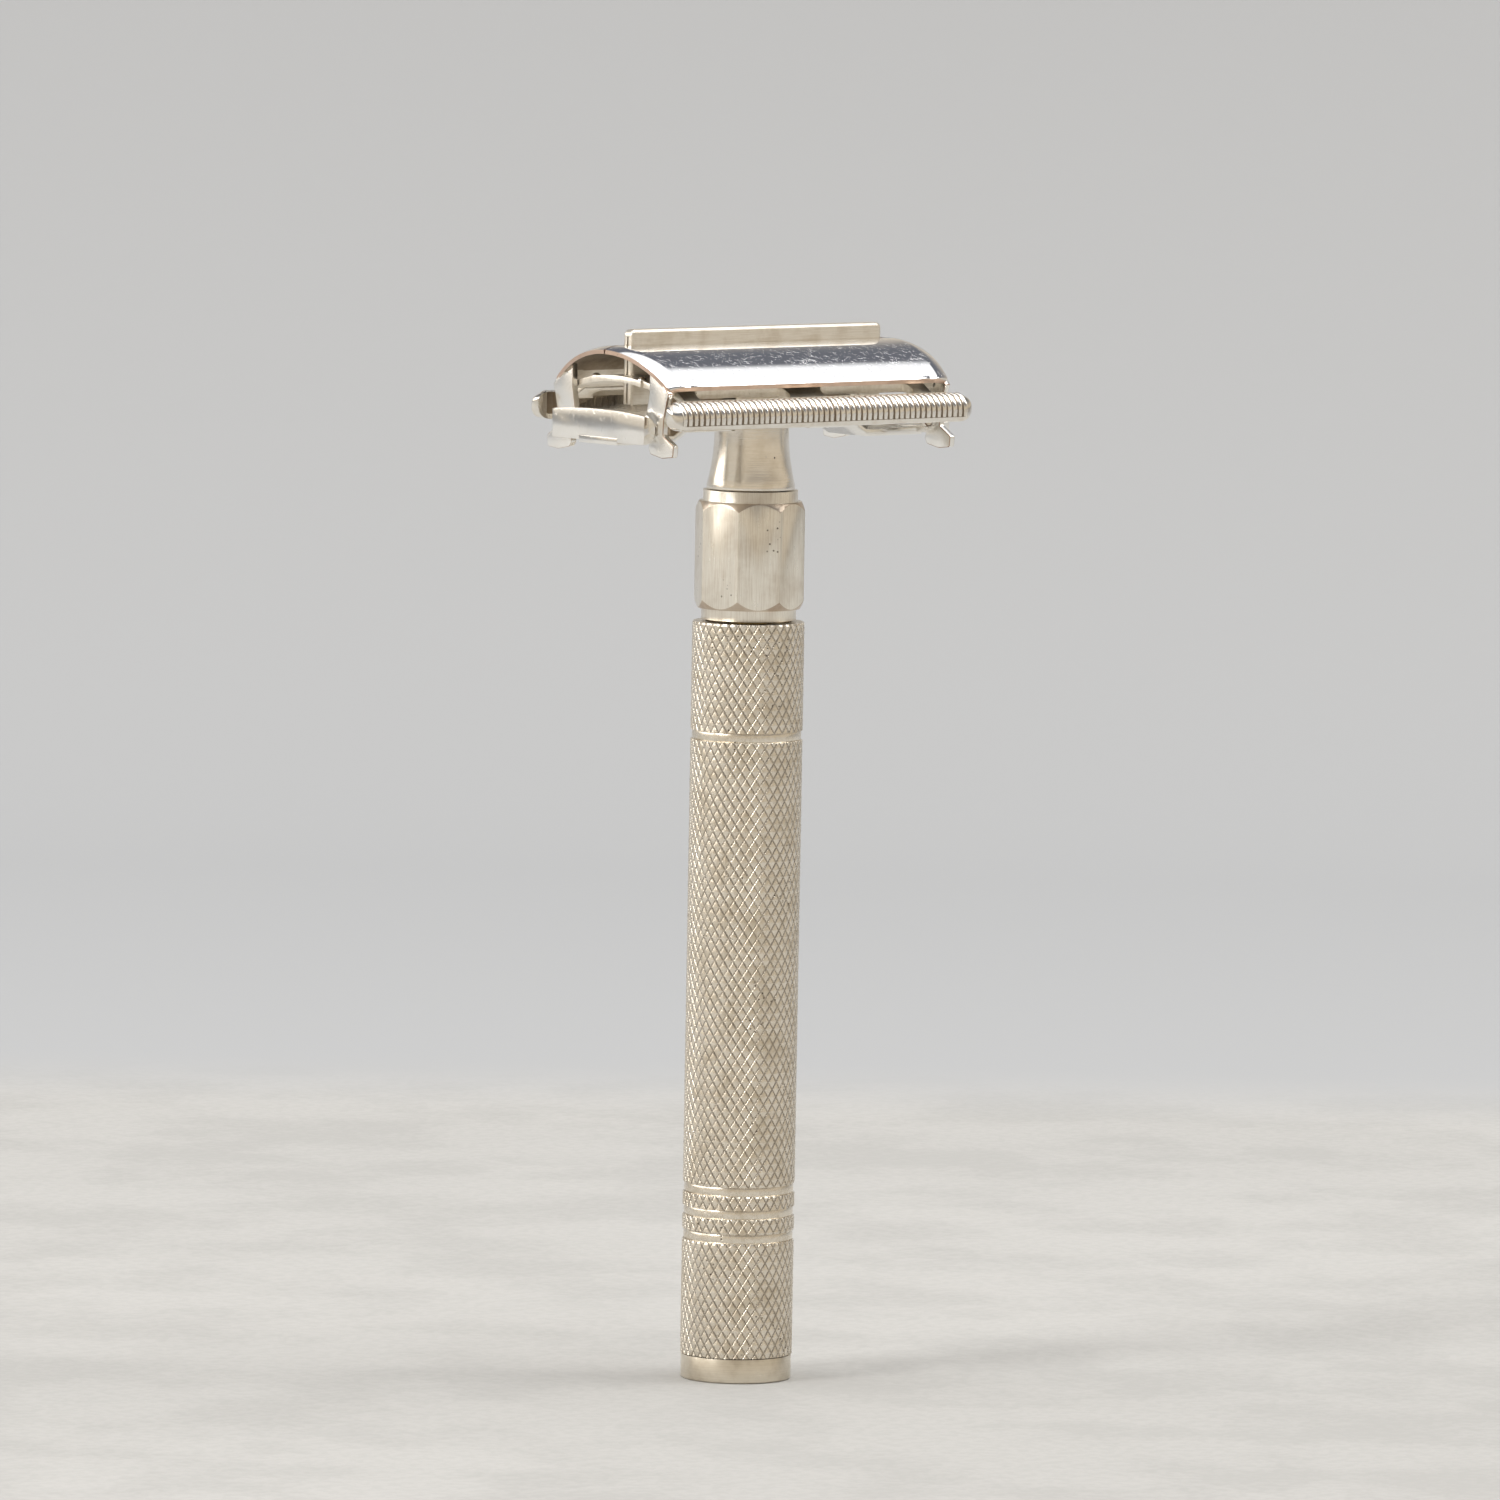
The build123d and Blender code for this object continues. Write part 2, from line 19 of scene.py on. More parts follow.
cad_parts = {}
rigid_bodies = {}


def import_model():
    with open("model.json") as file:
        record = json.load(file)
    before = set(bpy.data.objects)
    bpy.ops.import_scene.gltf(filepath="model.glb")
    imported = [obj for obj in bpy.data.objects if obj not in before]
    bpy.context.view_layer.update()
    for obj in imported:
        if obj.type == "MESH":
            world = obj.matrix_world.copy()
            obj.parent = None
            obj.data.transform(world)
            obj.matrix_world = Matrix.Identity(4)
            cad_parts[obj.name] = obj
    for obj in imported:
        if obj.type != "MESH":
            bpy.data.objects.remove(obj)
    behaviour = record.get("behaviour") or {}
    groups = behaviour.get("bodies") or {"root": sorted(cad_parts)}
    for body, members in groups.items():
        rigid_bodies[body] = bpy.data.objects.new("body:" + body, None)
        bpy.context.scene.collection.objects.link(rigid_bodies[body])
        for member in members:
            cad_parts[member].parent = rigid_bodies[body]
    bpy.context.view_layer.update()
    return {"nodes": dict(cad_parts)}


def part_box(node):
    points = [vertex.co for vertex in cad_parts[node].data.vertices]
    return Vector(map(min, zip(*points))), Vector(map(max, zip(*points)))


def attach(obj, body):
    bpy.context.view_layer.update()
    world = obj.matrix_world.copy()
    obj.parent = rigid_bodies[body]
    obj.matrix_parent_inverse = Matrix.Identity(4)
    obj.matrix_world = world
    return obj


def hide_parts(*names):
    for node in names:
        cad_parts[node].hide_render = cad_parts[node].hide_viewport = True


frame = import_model()
LOG = logging.getLogger("razor")
MM = 0.001
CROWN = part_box("front_door")[1].z / MM
KNURL_STARTS = 36               # grooves round the handle, each way
KNURL_CELL = 1.65               # height of one diamond
SECOND_FINISH = 1               # material slot of a chamfer or a worn edge

Colour = tuple[float, float, float]
Point = tuple[float, float, float]
Flow = Union["Value", bpy.types.NodeSocket, float, int, Sequence[float]]


# ================================================================ node trees
class Value:
    """A number in a node tree; arithmetic on it adds Math nodes."""

    def __init__(self, tree: bpy.types.NodeTree, socket: bpy.types.NodeSocket) -> None:
        """Wrap a socket.

        Args:
            tree: The tree that the socket is in.
            socket: The output that carries the number.
        """
        self.tree = tree
        self.socket = socket

    def math(self, operation: str, *others: Flow, first: Flow | None = None) -> "Value":
        """Add one Math node.

        Args:
            operation: The node's operation.
            others: The operands after the first.
            first: The first operand, which is this value unless it is given.

        Returns:
            The node's result.
        """
        node = self.tree.nodes.new("ShaderNodeMath")
        node.operation = operation
        operands = (self if first is None else first, *others)
        for socket, operand in zip(node.inputs, operands):
            feed(self.tree, socket, operand)
        return Value(self.tree, node.outputs[0])

    def __add__(self, other: Flow) -> "Value":
        """Add."""
        return self.math("ADD", other)

    __radd__ = __add__

    def __mul__(self, other: Flow) -> "Value":
        """Multiply."""
        return self.math("MULTIPLY", other)

    def __sub__(self, other: Flow) -> "Value":
        """Subtract."""
        return self.math("SUBTRACT", other)

    def __rsub__(self, other: Flow) -> "Value":
        """Subtract this from something."""
        return self.math("SUBTRACT", self, first=other)

    def __truediv__(self, other: Flow) -> "Value":
        """Divide."""
        return self.math("DIVIDE", other)

    def most(self, other: Flow) -> "Value":
        """Take the larger of two numbers."""
        return self.math("MAXIMUM", other)

    def least(self, other: Flow) -> "Value":
        """Take the smaller of two numbers."""
        return self.math("MINIMUM", other)

    def fold(self) -> "Value":
        """Turn a number into a zigzag: 1 at whole numbers, 0 half way."""
        return (self.math("FRACT") - 0.5).math("ABSOLUTE") * 2

    def between(self, low: float, high: float) -> "Value":
        """Rise smoothly from 0 to 1 between two limits.

        Args:
            low: Where the result is 0.
            high: Where the result is 1.

        Returns:
            The share.
        """
        node = self.tree.nodes.new("ShaderNodeMapRange")
        node.interpolation_type = "SMOOTHSTEP"
        feed(self.tree, node.inputs["Value"], self)
        node.inputs["From Min"].default_value = low
        node.inputs["From Max"].default_value = high
        return Value(self.tree, node.outputs["Result"])


def feed(tree: bpy.types.NodeTree, socket: bpy.types.NodeSocket, flow: Flow) -> None:
    """Link a flow to a socket, or set a constant on it.

    Args:
        tree: The tree that holds the socket.
        socket: The input.
        flow: A value, an output socket or a constant.
    """
    if isinstance(flow, Value):
        tree.links.new(flow.socket, socket)
    elif isinstance(flow, bpy.types.NodeSocket):
        tree.links.new(flow, socket)
    else:
        socket.default_value = flow


class Bench:
    """Adds nodes to one tree."""

    def __init__(self, tree: bpy.types.NodeTree) -> None:
        """Keep the tree that is worked on."""
        self.tree = tree

    def add(
        self,
        kind: str,
        settings: dict[str, object] | None = None,
        inputs: dict[Union[str, int], Flow] | None = None,
    ) -> bpy.types.Node:
        """Add a node.

        Args:
            kind: The node's type.
            settings: Its own properties, which are set first.
            inputs: What goes to its sockets, by name or number.

        Returns:
            The new node.
        """
        node = self.tree.nodes.new(kind)
        for name, value in (settings or {}).items():
            setattr(node, name, value)
        for key, flow in (inputs or {}).items():
            feed(self.tree, node.inputs[key], flow)
        return node

    def value(self, socket: bpy.types.NodeSocket) -> Value:
        """Wrap an output for arithmetic."""
        return Value(self.tree, socket)

    def blend(self, low: Flow, high: Flow, share: Flow) -> bpy.types.NodeSocket:
        """Mix two colours.

        Args:
            low: The colour at share 0.
            high: The colour at share 1.
            share: How much of the second one.

        Returns:
            The mixed colour.
        """
        node = self.add("ShaderNodeMix", {"data_type": "RGBA"})
        feed(self.tree, node.inputs[0], share)
        for socket, flow in ((node.inputs[6], low), (node.inputs[7], high)):
            if isinstance(flow, tuple):
                flow = (*flow, 1.0)
            feed(self.tree, socket, flow)
        return node.outputs[2]


class ShaderBench(Bench):
    """Adds the patterns that the metal finishes share."""

    def stretched(self, scale: Point, turn: Point = (0, 0, 0)) -> bpy.types.NodeSocket:
        """Give object coordinates, turned, then scaled for each axis.

        Args:
            scale: Pattern cells for each metre, along x, y and z.
            turn: Rotation in radians, before the scaling.

        Returns:
            The coordinates.
        """
        source = self.add("ShaderNodeTexCoord").outputs["Object"]
        turned = self.add(
            "ShaderNodeVectorRotate",
            {"rotation_type": "EULER_XYZ"},
            {"Vector": source, "Rotation": turn},
        )
        scaled = self.add(
            "ShaderNodeVectorMath",
            {"operation": "MULTIPLY"},
            {0: turned.outputs[0], 1: scale},
        )
        return scaled.outputs[0]

    def even(self, cells: float) -> bpy.types.NodeSocket:
        """Give object coordinates with the same scale along every axis."""
        return self.stretched((cells, cells, cells))

    def noise(self, where: Flow, detail: float = 3.0, rough: float = 0.55) -> Value:
        """Give soft noise of about one cell for each unit.

        Args:
            where: The coordinates.
            detail: Octaves.
            rough: How strong the finer octaves are.

        Returns:
            A value about 0.5.
        """
        node = self.add(
            "ShaderNodeTexNoise",
            None,
            {"Vector": where, "Scale": 1.0, "Detail": detail, "Roughness": rough},
        )
        return self.value(node.outputs[0])

    def specks(self, where: Flow, size: float) -> Value:
        """Give round specks, 1 at the middle of a cell and 0 outside.

        Args:
            where: The coordinates, one cell for each unit.
            size: The radius of a speck as a share of its cell.

        Returns:
            The speck mask.
        """
        node = self.add("ShaderNodeTexVoronoi", None, {"Vector": where, "Scale": 1.0})
        return 1 - self.value(node.outputs["Distance"]).between(size * 0.5, size)


class Grain(Enum):
    """How a surface was worked: cells for each metre along x, y and z."""

    TURNED = (260.0, 260.0, 9000.0)
    UPRIGHT = (9000.0, 9000.0, 300.0)
    LENGTHWISE = (350.0, 9000.0, 9000.0)
    CAST = (2600.0, 2600.0, 2600.0)


# ================================================================ finishes
@dataclass(frozen=True)
class Metal:
    """Plated metal with working marks, tarnish and pits."""

    name: str
    colour: Colour
    tarnish: Colour
    roughness: float
    grain: Grain
    marks: float = 0.25         # strength of the working marks in the relief
    marks_tone: float = 0.25    # how much they change the colour
    spread: float = 0.10        # how much the roughness wanders
    patches: float = 0.5        # share of tarnish in the soft patches
    pits: float = 0.0           # share of pit cells that hold a pit
    pit_colour: Colour = (0.10, 0.07, 0.04)
    scratches: float = 0.0      # depth of the fine scratches
    cloud_cells: float = 420.0  # soft patches for each metre
    fine_cells: float = 5200.0
    pit_cells: float = 1500.0
    pit_size: float = 0.20      # radius of a pit as a share of its cell
    group_cells: float = 240.0  # groups of pits for each metre
    scratch_cells: float = 900.0
    scratch_tilt: float = 0.35
    scratch_sets: tuple[tuple[float, float], ...] = (
        (0.5, 6500.0), (-0.9, 5200.0), (1.9, 8000.0),
    )                           # turn in radians, and lines for each metre
    relief: float = 0.35        # strength of the bump
    relief_step: float = 0.00004

    def material(self) -> bpy.types.Material:
        """Build the finish's material.

        Returns:
            The material.
        """
        made = bpy.data.materials.new(self.name)
        made.use_nodes = True
        bench = ShaderBench(made.node_tree)
        surface = made.node_tree.nodes["Principled BSDF"]
        marks = bench.noise(bench.stretched(self.grain.value), 4.0, 0.65)
        cloud = bench.noise(bench.even(self.cloud_cells), 3.0)
        fine = bench.noise(bench.even(self.fine_cells), 2.0)
        share = cloud.between(0.42, 0.72) * self.patches
        share = share + (marks.between(0.35, 0.75) * self.marks_tone)
        colour = bench.blend(self.colour, self.tarnish, share.least(1.0))
        rough = (marks - 0.5) * self.spread + (cloud - 0.5) * self.spread
        rough = rough + self.roughness
        height = marks * self.marks + fine * (self.marks * 0.3)
        if self.pits:
            spots = bench.specks(bench.even(self.pit_cells), self.pit_size)
            groups = bench.noise(bench.even(self.group_cells), 1.0)
            spots = spots * groups.between(0.74 - self.pits, 0.80 - self.pits)
            colour = bench.blend(colour, self.pit_colour, spots * 0.85)
            rough = rough + spots * 0.4
            height = height - spots * 1.5
        if self.scratches:
            length = self.scratch_cells
            for turn, width in self.scratch_sets:
                angles = (0.0, self.scratch_tilt, turn)
                where = bench.stretched((width, length, length), angles)
                line = bench.noise(where, 2.0).between(0.66, 0.71) * self.scratches
                rough = rough + line * 0.35
                height = height - line
        bump = bench.add(
            "ShaderNodeBump",
            None,
            {"Strength": self.relief, "Distance": self.relief_step},
        )
        feed(bench.tree, bump.inputs["Height"], height)
        feed(bench.tree, surface.inputs["Base Color"], colour)
        feed(bench.tree, surface.inputs["Roughness"], rough.most(0.03))
        feed(bench.tree, surface.inputs["Normal"], bump.outputs[0])
        surface.inputs["Metallic"].default_value = 1.0
        return made


@dataclass(frozen=True)
class KnurledMetal(Metal):
    """Metal with two crossing sets of rolled lines, darkened in them by painted shade and
    dirt.
    """

    starts: int = KNURL_STARTS
    cell: float = KNURL_CELL
    root: float = 5.955         # radius under which a turned ring is plain
    line_depth: float = 1.9
    line_relief: float = 0.8    # strength of the bump with the lines in it
    grime_cells: float = 900.0
    # painted shade with dirt: the colour that the grooves are darkened towards
    groove_shade_and_dirt: Colour = (0.17, 0.13, 0.09)

    def material(self) -> bpy.types.Material:
        """Build the plated metal, then roll the lines into it.

        Returns:
            The material.
        """
        made = super().material()
        bench = ShaderBench(made.node_tree)
        surface = made.node_tree.nodes["Principled BSDF"]
        was = surface.inputs["Base Color"].links[0].from_socket
        where = bench.even(1 / MM)
        axes = bench.add("ShaderNodeSeparateXYZ", None, {0: where})
        x, y, z = (bench.value(axes.outputs[i]) for i in range(3))
        turns = y.math("ARCTAN2", x) * (self.starts / (2 * math.pi))
        lead = z / self.cell
        ridge = (turns + lead).fold().most((turns - lead).fold())
        radius = (x * x + y * y).math("SQRT")
        line = ridge.between(0.78, 0.98) * radius.between(self.root, self.root + 0.02)
        grime = bench.noise(bench.even(self.grime_cells), 3.0)
        # painted shade in every groove, a quarter of the way to that colour, and up to
        # 0.35 more where the grime noise is high
        share = line * (grime.between(0.25, 0.65) * 0.35 + 0.25)
        feed(
            bench.tree,
            surface.inputs["Base Color"],
            bench.blend(was, self.groove_shade_and_dirt, share),
        )
        bump = surface.inputs["Normal"].links[0].from_node
        relief = bench.value(bump.inputs["Height"].links[0].from_socket)
        feed(bench.tree, bump.inputs["Height"], relief - line * self.line_depth)
        bump.inputs["Strength"].default_value = self.line_relief
        return made


@dataclass(frozen=True)
class Plain:
    """A matt stage surface, mottled near the razor and plain far behind it."""

    name: str
    near: Colour
    far: Colour
    fade_from: float            # metres behind the razor
    fade_to: float
    away: Point                 # direction that the fade is measured along
    cloud_cells: float = 6.0    # for each metre, as the two below
    blot_cells: float = 38.0
    grain_cells: float = 700.0
    darkest: float = 0.86       # share of the near colour in a full blot
    roughness: float = 0.9
    sheen: float = 0.15         # specular level

    def material(self) -> bpy.types.Material:
        """Build the finish's material.

        Returns:
            The material.
        """
        made = bpy.data.materials.new(self.name)
        made.use_nodes = True
        bench = ShaderBench(made.node_tree)
        surface = made.node_tree.nodes["Principled BSDF"]
        where = bench.even(1.0)
        along = bench.add(
            "ShaderNodeVectorMath",
            {"operation": "DOT_PRODUCT"},
            {0: where, 1: self.away},
        )
        share = bench.value(along.outputs["Value"]).between(
            self.fade_from, self.fade_to
        )
        cloud = bench.noise(bench.even(self.cloud_cells), 3.0)
        grain = bench.noise(bench.even(self.grain_cells), 3.0, 0.7)
        blot = bench.noise(bench.even(self.blot_cells), 4.0, 0.6)
        tone = cloud.between(0.4, 0.6) * 0.3 + grain.between(0.40, 0.62) * 0.4
        tone = tone + blot.between(0.42, 0.62) * 0.5
        dark = tuple(c * self.darkest for c in self.near)
        near = bench.blend(self.near, dark, tone)
        feed(
            bench.tree,
            surface.inputs["Base Color"],
            bench.blend(near, self.far, share),
        )
        surface.inputs["Roughness"].default_value = self.roughness
        surface.inputs["Specular IOR Level"].default_value = self.sheen
        return made


class Palette:
    """The razor's finishes, made once."""

    def __init__(self) -> None:
        """Make every material."""
        dull = (0.50, 0.43, 0.33)
        self.knurl = KnurledMetal(
            "knurled_nickel", (0.82, 0.76, 0.66), (0.60, 0.52, 0.40), 0.27,
            Grain.CAST, marks=0.45, marks_tone=0.45, pits=0.18,
        ).material()
        self.cap = Metal(
            "turned_cap_nickel", (0.76, 0.70, 0.59), dull, 0.30, Grain.TURNED,
            marks=0.35, pits=0.08,
        ).material()
        self.collar = Metal(
            "drawn_collar_nickel", (0.88, 0.84, 0.75), (0.60, 0.52, 0.42), 0.30,
            Grain.UPRIGHT, marks=0.8, marks_tone=0.6, patches=0.35, pits=0.12,
        ).material()
        self.chamfer = Metal(
            "collar_chamfer", (0.62, 0.53, 0.43), (0.42, 0.32, 0.24), 0.32,
            Grain.TURNED, marks=0.4, patches=0.7,
        ).material()
        self.neck = Metal(
            "turned_neck_nickel", (0.86, 0.81, 0.73), (0.62, 0.54, 0.42), 0.18,
            Grain.TURNED, marks=0.7, patches=0.35, pits=0.16,
        ).material()
        self.guard = Metal(
            "guard_nickel", (0.88, 0.85, 0.79), (0.64, 0.56, 0.45), 0.19,
            Grain.CAST, marks=0.15, patches=0.4,
        ).material()
        self.bed = Metal(
            "bed_nickel", (0.90, 0.85, 0.76), (0.64, 0.56, 0.45), 0.42,
            Grain.CAST, marks=0.3, patches=0.6, pits=0.1,
        ).material()
        # painted shade: dark brown metal that stands for the shade between the guard's
        # ribs, with darker patches
        self.shaded_guard_valley = Metal(
            "guard_valley_nickel", (0.24, 0.19, 0.14), (0.14, 0.11, 0.08), 0.42,
            Grain.LENGTHWISE, marks=0.3,
        ).material()
        self.bright = Metal(
            "bright_nickel", (0.93, 0.92, 0.89), (0.80, 0.76, 0.69), 0.15,
            Grain.CAST, marks=0.12, patches=0.3, scratches=0.2,
        ).material()
        self.ear = Metal(
            "ear_nickel", (0.96, 0.95, 0.92), (0.82, 0.78, 0.71), 0.24,
            Grain.CAST, marks=0.5, patches=0.25, pits=0.05,
        ).material()
        self.spine = Metal(
            "spine_nickel", (0.84, 0.79, 0.70), (0.62, 0.54, 0.43), 0.36,
            Grain.LENGTHWISE, marks=0.6, marks_tone=0.45, pits=0.14,
        ).material()
        # painted shade: dark brown nickel for the enclosed inside of the head, used on
        # the door undersides and the parts under the doors
        self.inner = Metal(
            "inner_nickel", (0.46, 0.38, 0.29), (0.24, 0.18, 0.12), 0.42,
            Grain.CAST, marks=0.3,
        ).material()
        self.chrome = Metal(
            "door_chrome", (0.92, 0.92, 0.93), (0.84, 0.84, 0.85), 0.055,
            Grain.LENGTHWISE, marks=0.03, marks_tone=0.05, spread=0.03,
            patches=0.3, scratches=0.5,
        ).material()
        self.edge = Metal(
            "sheet_edge", (0.74, 0.56, 0.45), (0.50, 0.34, 0.25), 0.30,
            Grain.LENGTHWISE, marks=0.4,
        ).material()
        self.worn = Metal(
            "worn_edge", (0.44, 0.29, 0.20), (0.26, 0.16, 0.11), 0.34,
            Grain.CAST, marks=0.4,
        ).material()
        self.brass = Metal(
            "raw_brass", (0.72, 0.55, 0.28), (0.46, 0.33, 0.16), 0.35,
            Grain.TURNED, marks=0.4,
        ).material()
        self.steel = Metal(
            "pin_steel", (0.80, 0.74, 0.64), dull, 0.25, Grain.TURNED, marks=0.3,
        ).material()


# ================================================================ mesh making
@contextmanager
def edited(mesh: bpy.types.Mesh) -> Iterator[bmesh.types.BMesh]:
    """Open a mesh for editing and write it back afterwards.

    Args:
        mesh: The mesh.

    Yields:
        Its editable copy.
    """
    work = bmesh.new()
    work.from_mesh(mesh)
    yield work
    work.to_mesh(mesh)
    work.free()


@dataclass
class Shell:
    """Collects points, faces and their material numbers, in millimetres."""

    points: list[Point] = field(default_factory=list)
    faces: list[tuple[int, ...]] = field(default_factory=list)
    slots: list[int] = field(default_factory=list)

    def grid(
        self, rows: Sequence[Sequence[Point]], slot: int = 0, ring: bool = False
    ) -> None:
        """Add a surface through rows of points.

        Args:
            rows: Rows of equal length.
            slot: Material number.
            ring: Whether a row's last point joins its first.
        """
        start = len(self.points)
        width = len(rows[0])
        for row in rows:
            self.points.extend(row)
        last = width if ring else width - 1
        for r in range(len(rows) - 1):
            for c in range(last):
                a = start + r * width + c
                b = start + r * width + (c + 1) % width
                self.faces.append((a, b, b + width, a + width))
                self.slots.append(slot)

    def lid(self, row: Sequence[Point], slot: int = 0) -> None:
        """Close a loop of points with one face.

        Args:
            row: The loop.
            slot: Material number.
        """
        start = len(self.points)
        self.points.extend(row)
        self.faces.append(tuple(range(start, start + len(row))))
        self.slots.append(slot)

    def mesh(self, name: str, join: float = 0.0004) -> bpy.types.Mesh:
        """Weld the pieces and turn every face outwards.

        Args:
            name: The mesh's name.
            join: Points nearer than this, in millimetres, become one.

        Returns:
            The finished mesh, in metres.
        """
        mesh = bpy.data.meshes.new(name)
        scaled = [tuple(v * MM for v in p) for p in self.points]
        mesh.from_pydata(scaled, [], self.faces)
        mesh.polygons.foreach_set("material_index", self.slots)
        with edited(mesh) as work:
            bmesh.ops.remove_doubles(work, verts=work.verts, dist=join * MM)
            bmesh.ops.dissolve_degenerate(work, dist=join * MM, edges=work.edges)
            bmesh.ops.recalc_face_normals(work, faces=work.faces)
        return mesh


def circle(radius: float, z: float, count: int) -> list[Point]:
    """Give a ring of points about the handle's axis.

    Args:
        radius: The ring's radius.
        z: Its level.
        count: How many points it has.

    Returns:
        The points.
    """
    step = 2 * math.pi / count
    return [
        (radius * math.cos(i * step), radius * math.sin(i * step), z)
        for i in range(count)
    ]


def show(
    mesh: bpy.types.Mesh,
    name: str,
    materials: Sequence[bpy.types.Material],
    crease: float = 32.0,
    flat_above: float = 1.2,
) -> bpy.types.Object:
    """Put a mesh in the scene, smooth but for its creases and large flats.

    Args:
        mesh: The mesh, in metres.
        name: The object's name.
        materials: Its materials, in slot order.
        crease: Edges that turn more than this many degrees stay sharp.
        flat_above: Faces of more than this many square millimetres stay flat.

    Returns:
        The new object.
    """
    made = bpy.data.objects.new(name, mesh)
    bpy.context.scene.collection.objects.link(made)
    slots = [min(p.material_index, len(materials) - 1) for p in mesh.polygons]
    mesh.materials.clear()
    for material in materials:
        mesh.materials.append(material)
    mesh.polygons.foreach_set("material_index", slots)
    limit = flat_above * MM * MM
    mesh.polygons.foreach_set("use_smooth", [p.area < limit for p in mesh.polygons])
    mesh.set_sharp_from_angle(angle=math.radians(crease))
    mesh.update()
    return made


def settle(
    made: bpy.types.Object, body: str, nodes: Sequence[str]
) -> bpy.types.Object:
    """Let a piece ride on its body in place of its CAD nodes.

    Args:
        made: The finished piece.
        body: The body that it moves with.
        nodes: The CAD nodes that it stands for.

    Returns:
        The piece.
    """
    if nodes:
        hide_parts(*nodes)
    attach(made, body)
    LOG.info("%s: %d faces on %s", made.name, len(made.data.polygons), body)
    return made


def baked(holder: bpy.types.Object, name: str) -> bpy.types.Mesh:
    """Turn an object and its modifiers into one plain mesh and drop it.

    Args:
        holder: The object to evaluate, which is removed.
        name: The name of the new mesh.

    Returns:
        The plain mesh.
    """
    bpy.context.view_layer.update()
    graph = bpy.context.evaluated_depsgraph_get()
    mesh = bpy.data.meshes.new_from_object(holder.evaluated_get(graph))
    mesh.name = name
    holder.modifiers.clear()
    bpy.data.objects.remove(holder)
    return mesh


def holder_of(mesh: bpy.types.Mesh, name: str) -> bpy.types.Object:
    """Put a mesh in a scratch object for modifiers to work on.

    Args:
        mesh: The mesh.
        name: The scratch object's name.

    Returns:
        The scratch object.
    """
    holder = bpy.data.objects.new(name, mesh)
    bpy.context.scene.collection.objects.link(holder)
    return holder


def welded_copy(node: str, join: float = 2e-7, flat: float = 0.6) -> bpy.types.Mesh:
    """Copy a CAD node's triangles and join them into clean faces.

    Args:
        node: The CAD node.
        join: Points nearer than this, in metres, become one.
        flat: Faces that meet within this many degrees become one.

    Returns:
        The clean mesh.
    """
    mesh = frame["nodes"][node].data.copy()
    with edited(mesh) as work:
        bmesh.ops.remove_doubles(work, verts=work.verts, dist=join)
        bmesh.ops.dissolve_limit(
            work,
            angle_limit=math.radians(flat),
            verts=work.verts,
            edges=work.edges,
            delimit={"NORMAL"},
        )
    for name in [a.name for a in mesh.attributes if "custom_normal" in a.name]:
        mesh.attributes.remove(mesh.attributes[name])
    return mesh


@dataclass
class Softener:
    """Rounds the sharp edges of a CAD node's copy."""

    width: float = 0.07
    segments: int = 2
    angle: float = 33.0         # edges that turn less stay as they are

    def mesh(
        self, node: str, cut: bpy.types.Object | None = None, worn: bool = False
    ) -> bpy.types.Mesh:
        """Make the rounded mesh of a node.

        Args:
            node: The CAD node.
            cut: A solid to take away first.
            worn: Whether the roundings take the second material.

        Returns:
            The plain mesh.
        """
        source = welded_copy(node)
        source.materials.clear()
        source.materials.append(None)
        if worn:
            source.materials.append(None)
        holder = holder_of(source, f"{node}_work")
        if cut is not None:
            knife = holder.modifiers.new("cut", "BOOLEAN")
            knife.operation = "DIFFERENCE"
            knife.solver = "EXACT"
            knife.object = cut
        bevel = holder.modifiers.new("soften", "BEVEL")
        bevel.width = self.width * MM
        bevel.segments = self.segments
        bevel.limit_method = "ANGLE"
        bevel.angle_limit = math.radians(self.angle)
        bevel.use_clamp_overlap = True
        bevel.loop_slide = False
        if worn:
            bevel.material = SECOND_FINISH
        return baked(holder, f"{node}_soft")


# ================================================================ patterns
class Recipe(Bench):
    """A geometry tree with named inputs that ends in one plain, dressed mesh."""

    def __init__(self, name: str, inputs: dict[str, str]) -> None:
        """Start the tree.

        Args:
            name: The tree's name.
            inputs: Socket types by input name.
        """
        super().__init__(bpy.data.node_groups.new(name, "GeometryNodeTree"))
        face = self.tree.interface
        self.ids: dict[str, str] = {}
        for label, kind in {**inputs, "Finish": "NodeSocketMaterial"}.items():
            made = face.new_socket(label, in_out="INPUT", socket_type=kind)
            self.ids[label] = made.identifier
        face.new_socket("Mesh", in_out="OUTPUT", socket_type="NodeSocketGeometry")
        self.entry = self.tree.nodes.new("NodeGroupInput")

    def given(self, label: str) -> Value:
        """Give one of the named inputs."""
        return self.value(self.entry.outputs[label])

    def end(self, geometry: bpy.types.NodeSocket) -> None:
        """Realize the geometry, dress it and send it out.

        Args:
            geometry: What the tree has made.
        """
        real = self.add("GeometryNodeRealizeInstances", None, {0: geometry})
        dressed = self.add(
            "GeometryNodeSetMaterial",
            None,
            {"Geometry": real.outputs[0], "Material": self.entry.outputs["Finish"]},
        )
        out = self.tree.nodes.new("NodeGroupOutput")
        self.tree.links.new(dressed.outputs[0], out.inputs[0])

    def grow(self, name: str, values: dict[str, object]) -> bpy.types.Mesh:
        """Run the tree once.

        Args:
            name: The new mesh's name.
            values: What the named inputs are set to.

        Returns:
            A plain mesh.
        """
        holder = holder_of(bpy.data.meshes.new(f"{name}_seed"), f"{name}_work")
        modifier = holder.modifiers.new(name, "NODES")
        modifier.node_group = self.tree
        for label, value in values.items():
            modifier[self.ids[label]] = value
        return baked(holder, name)


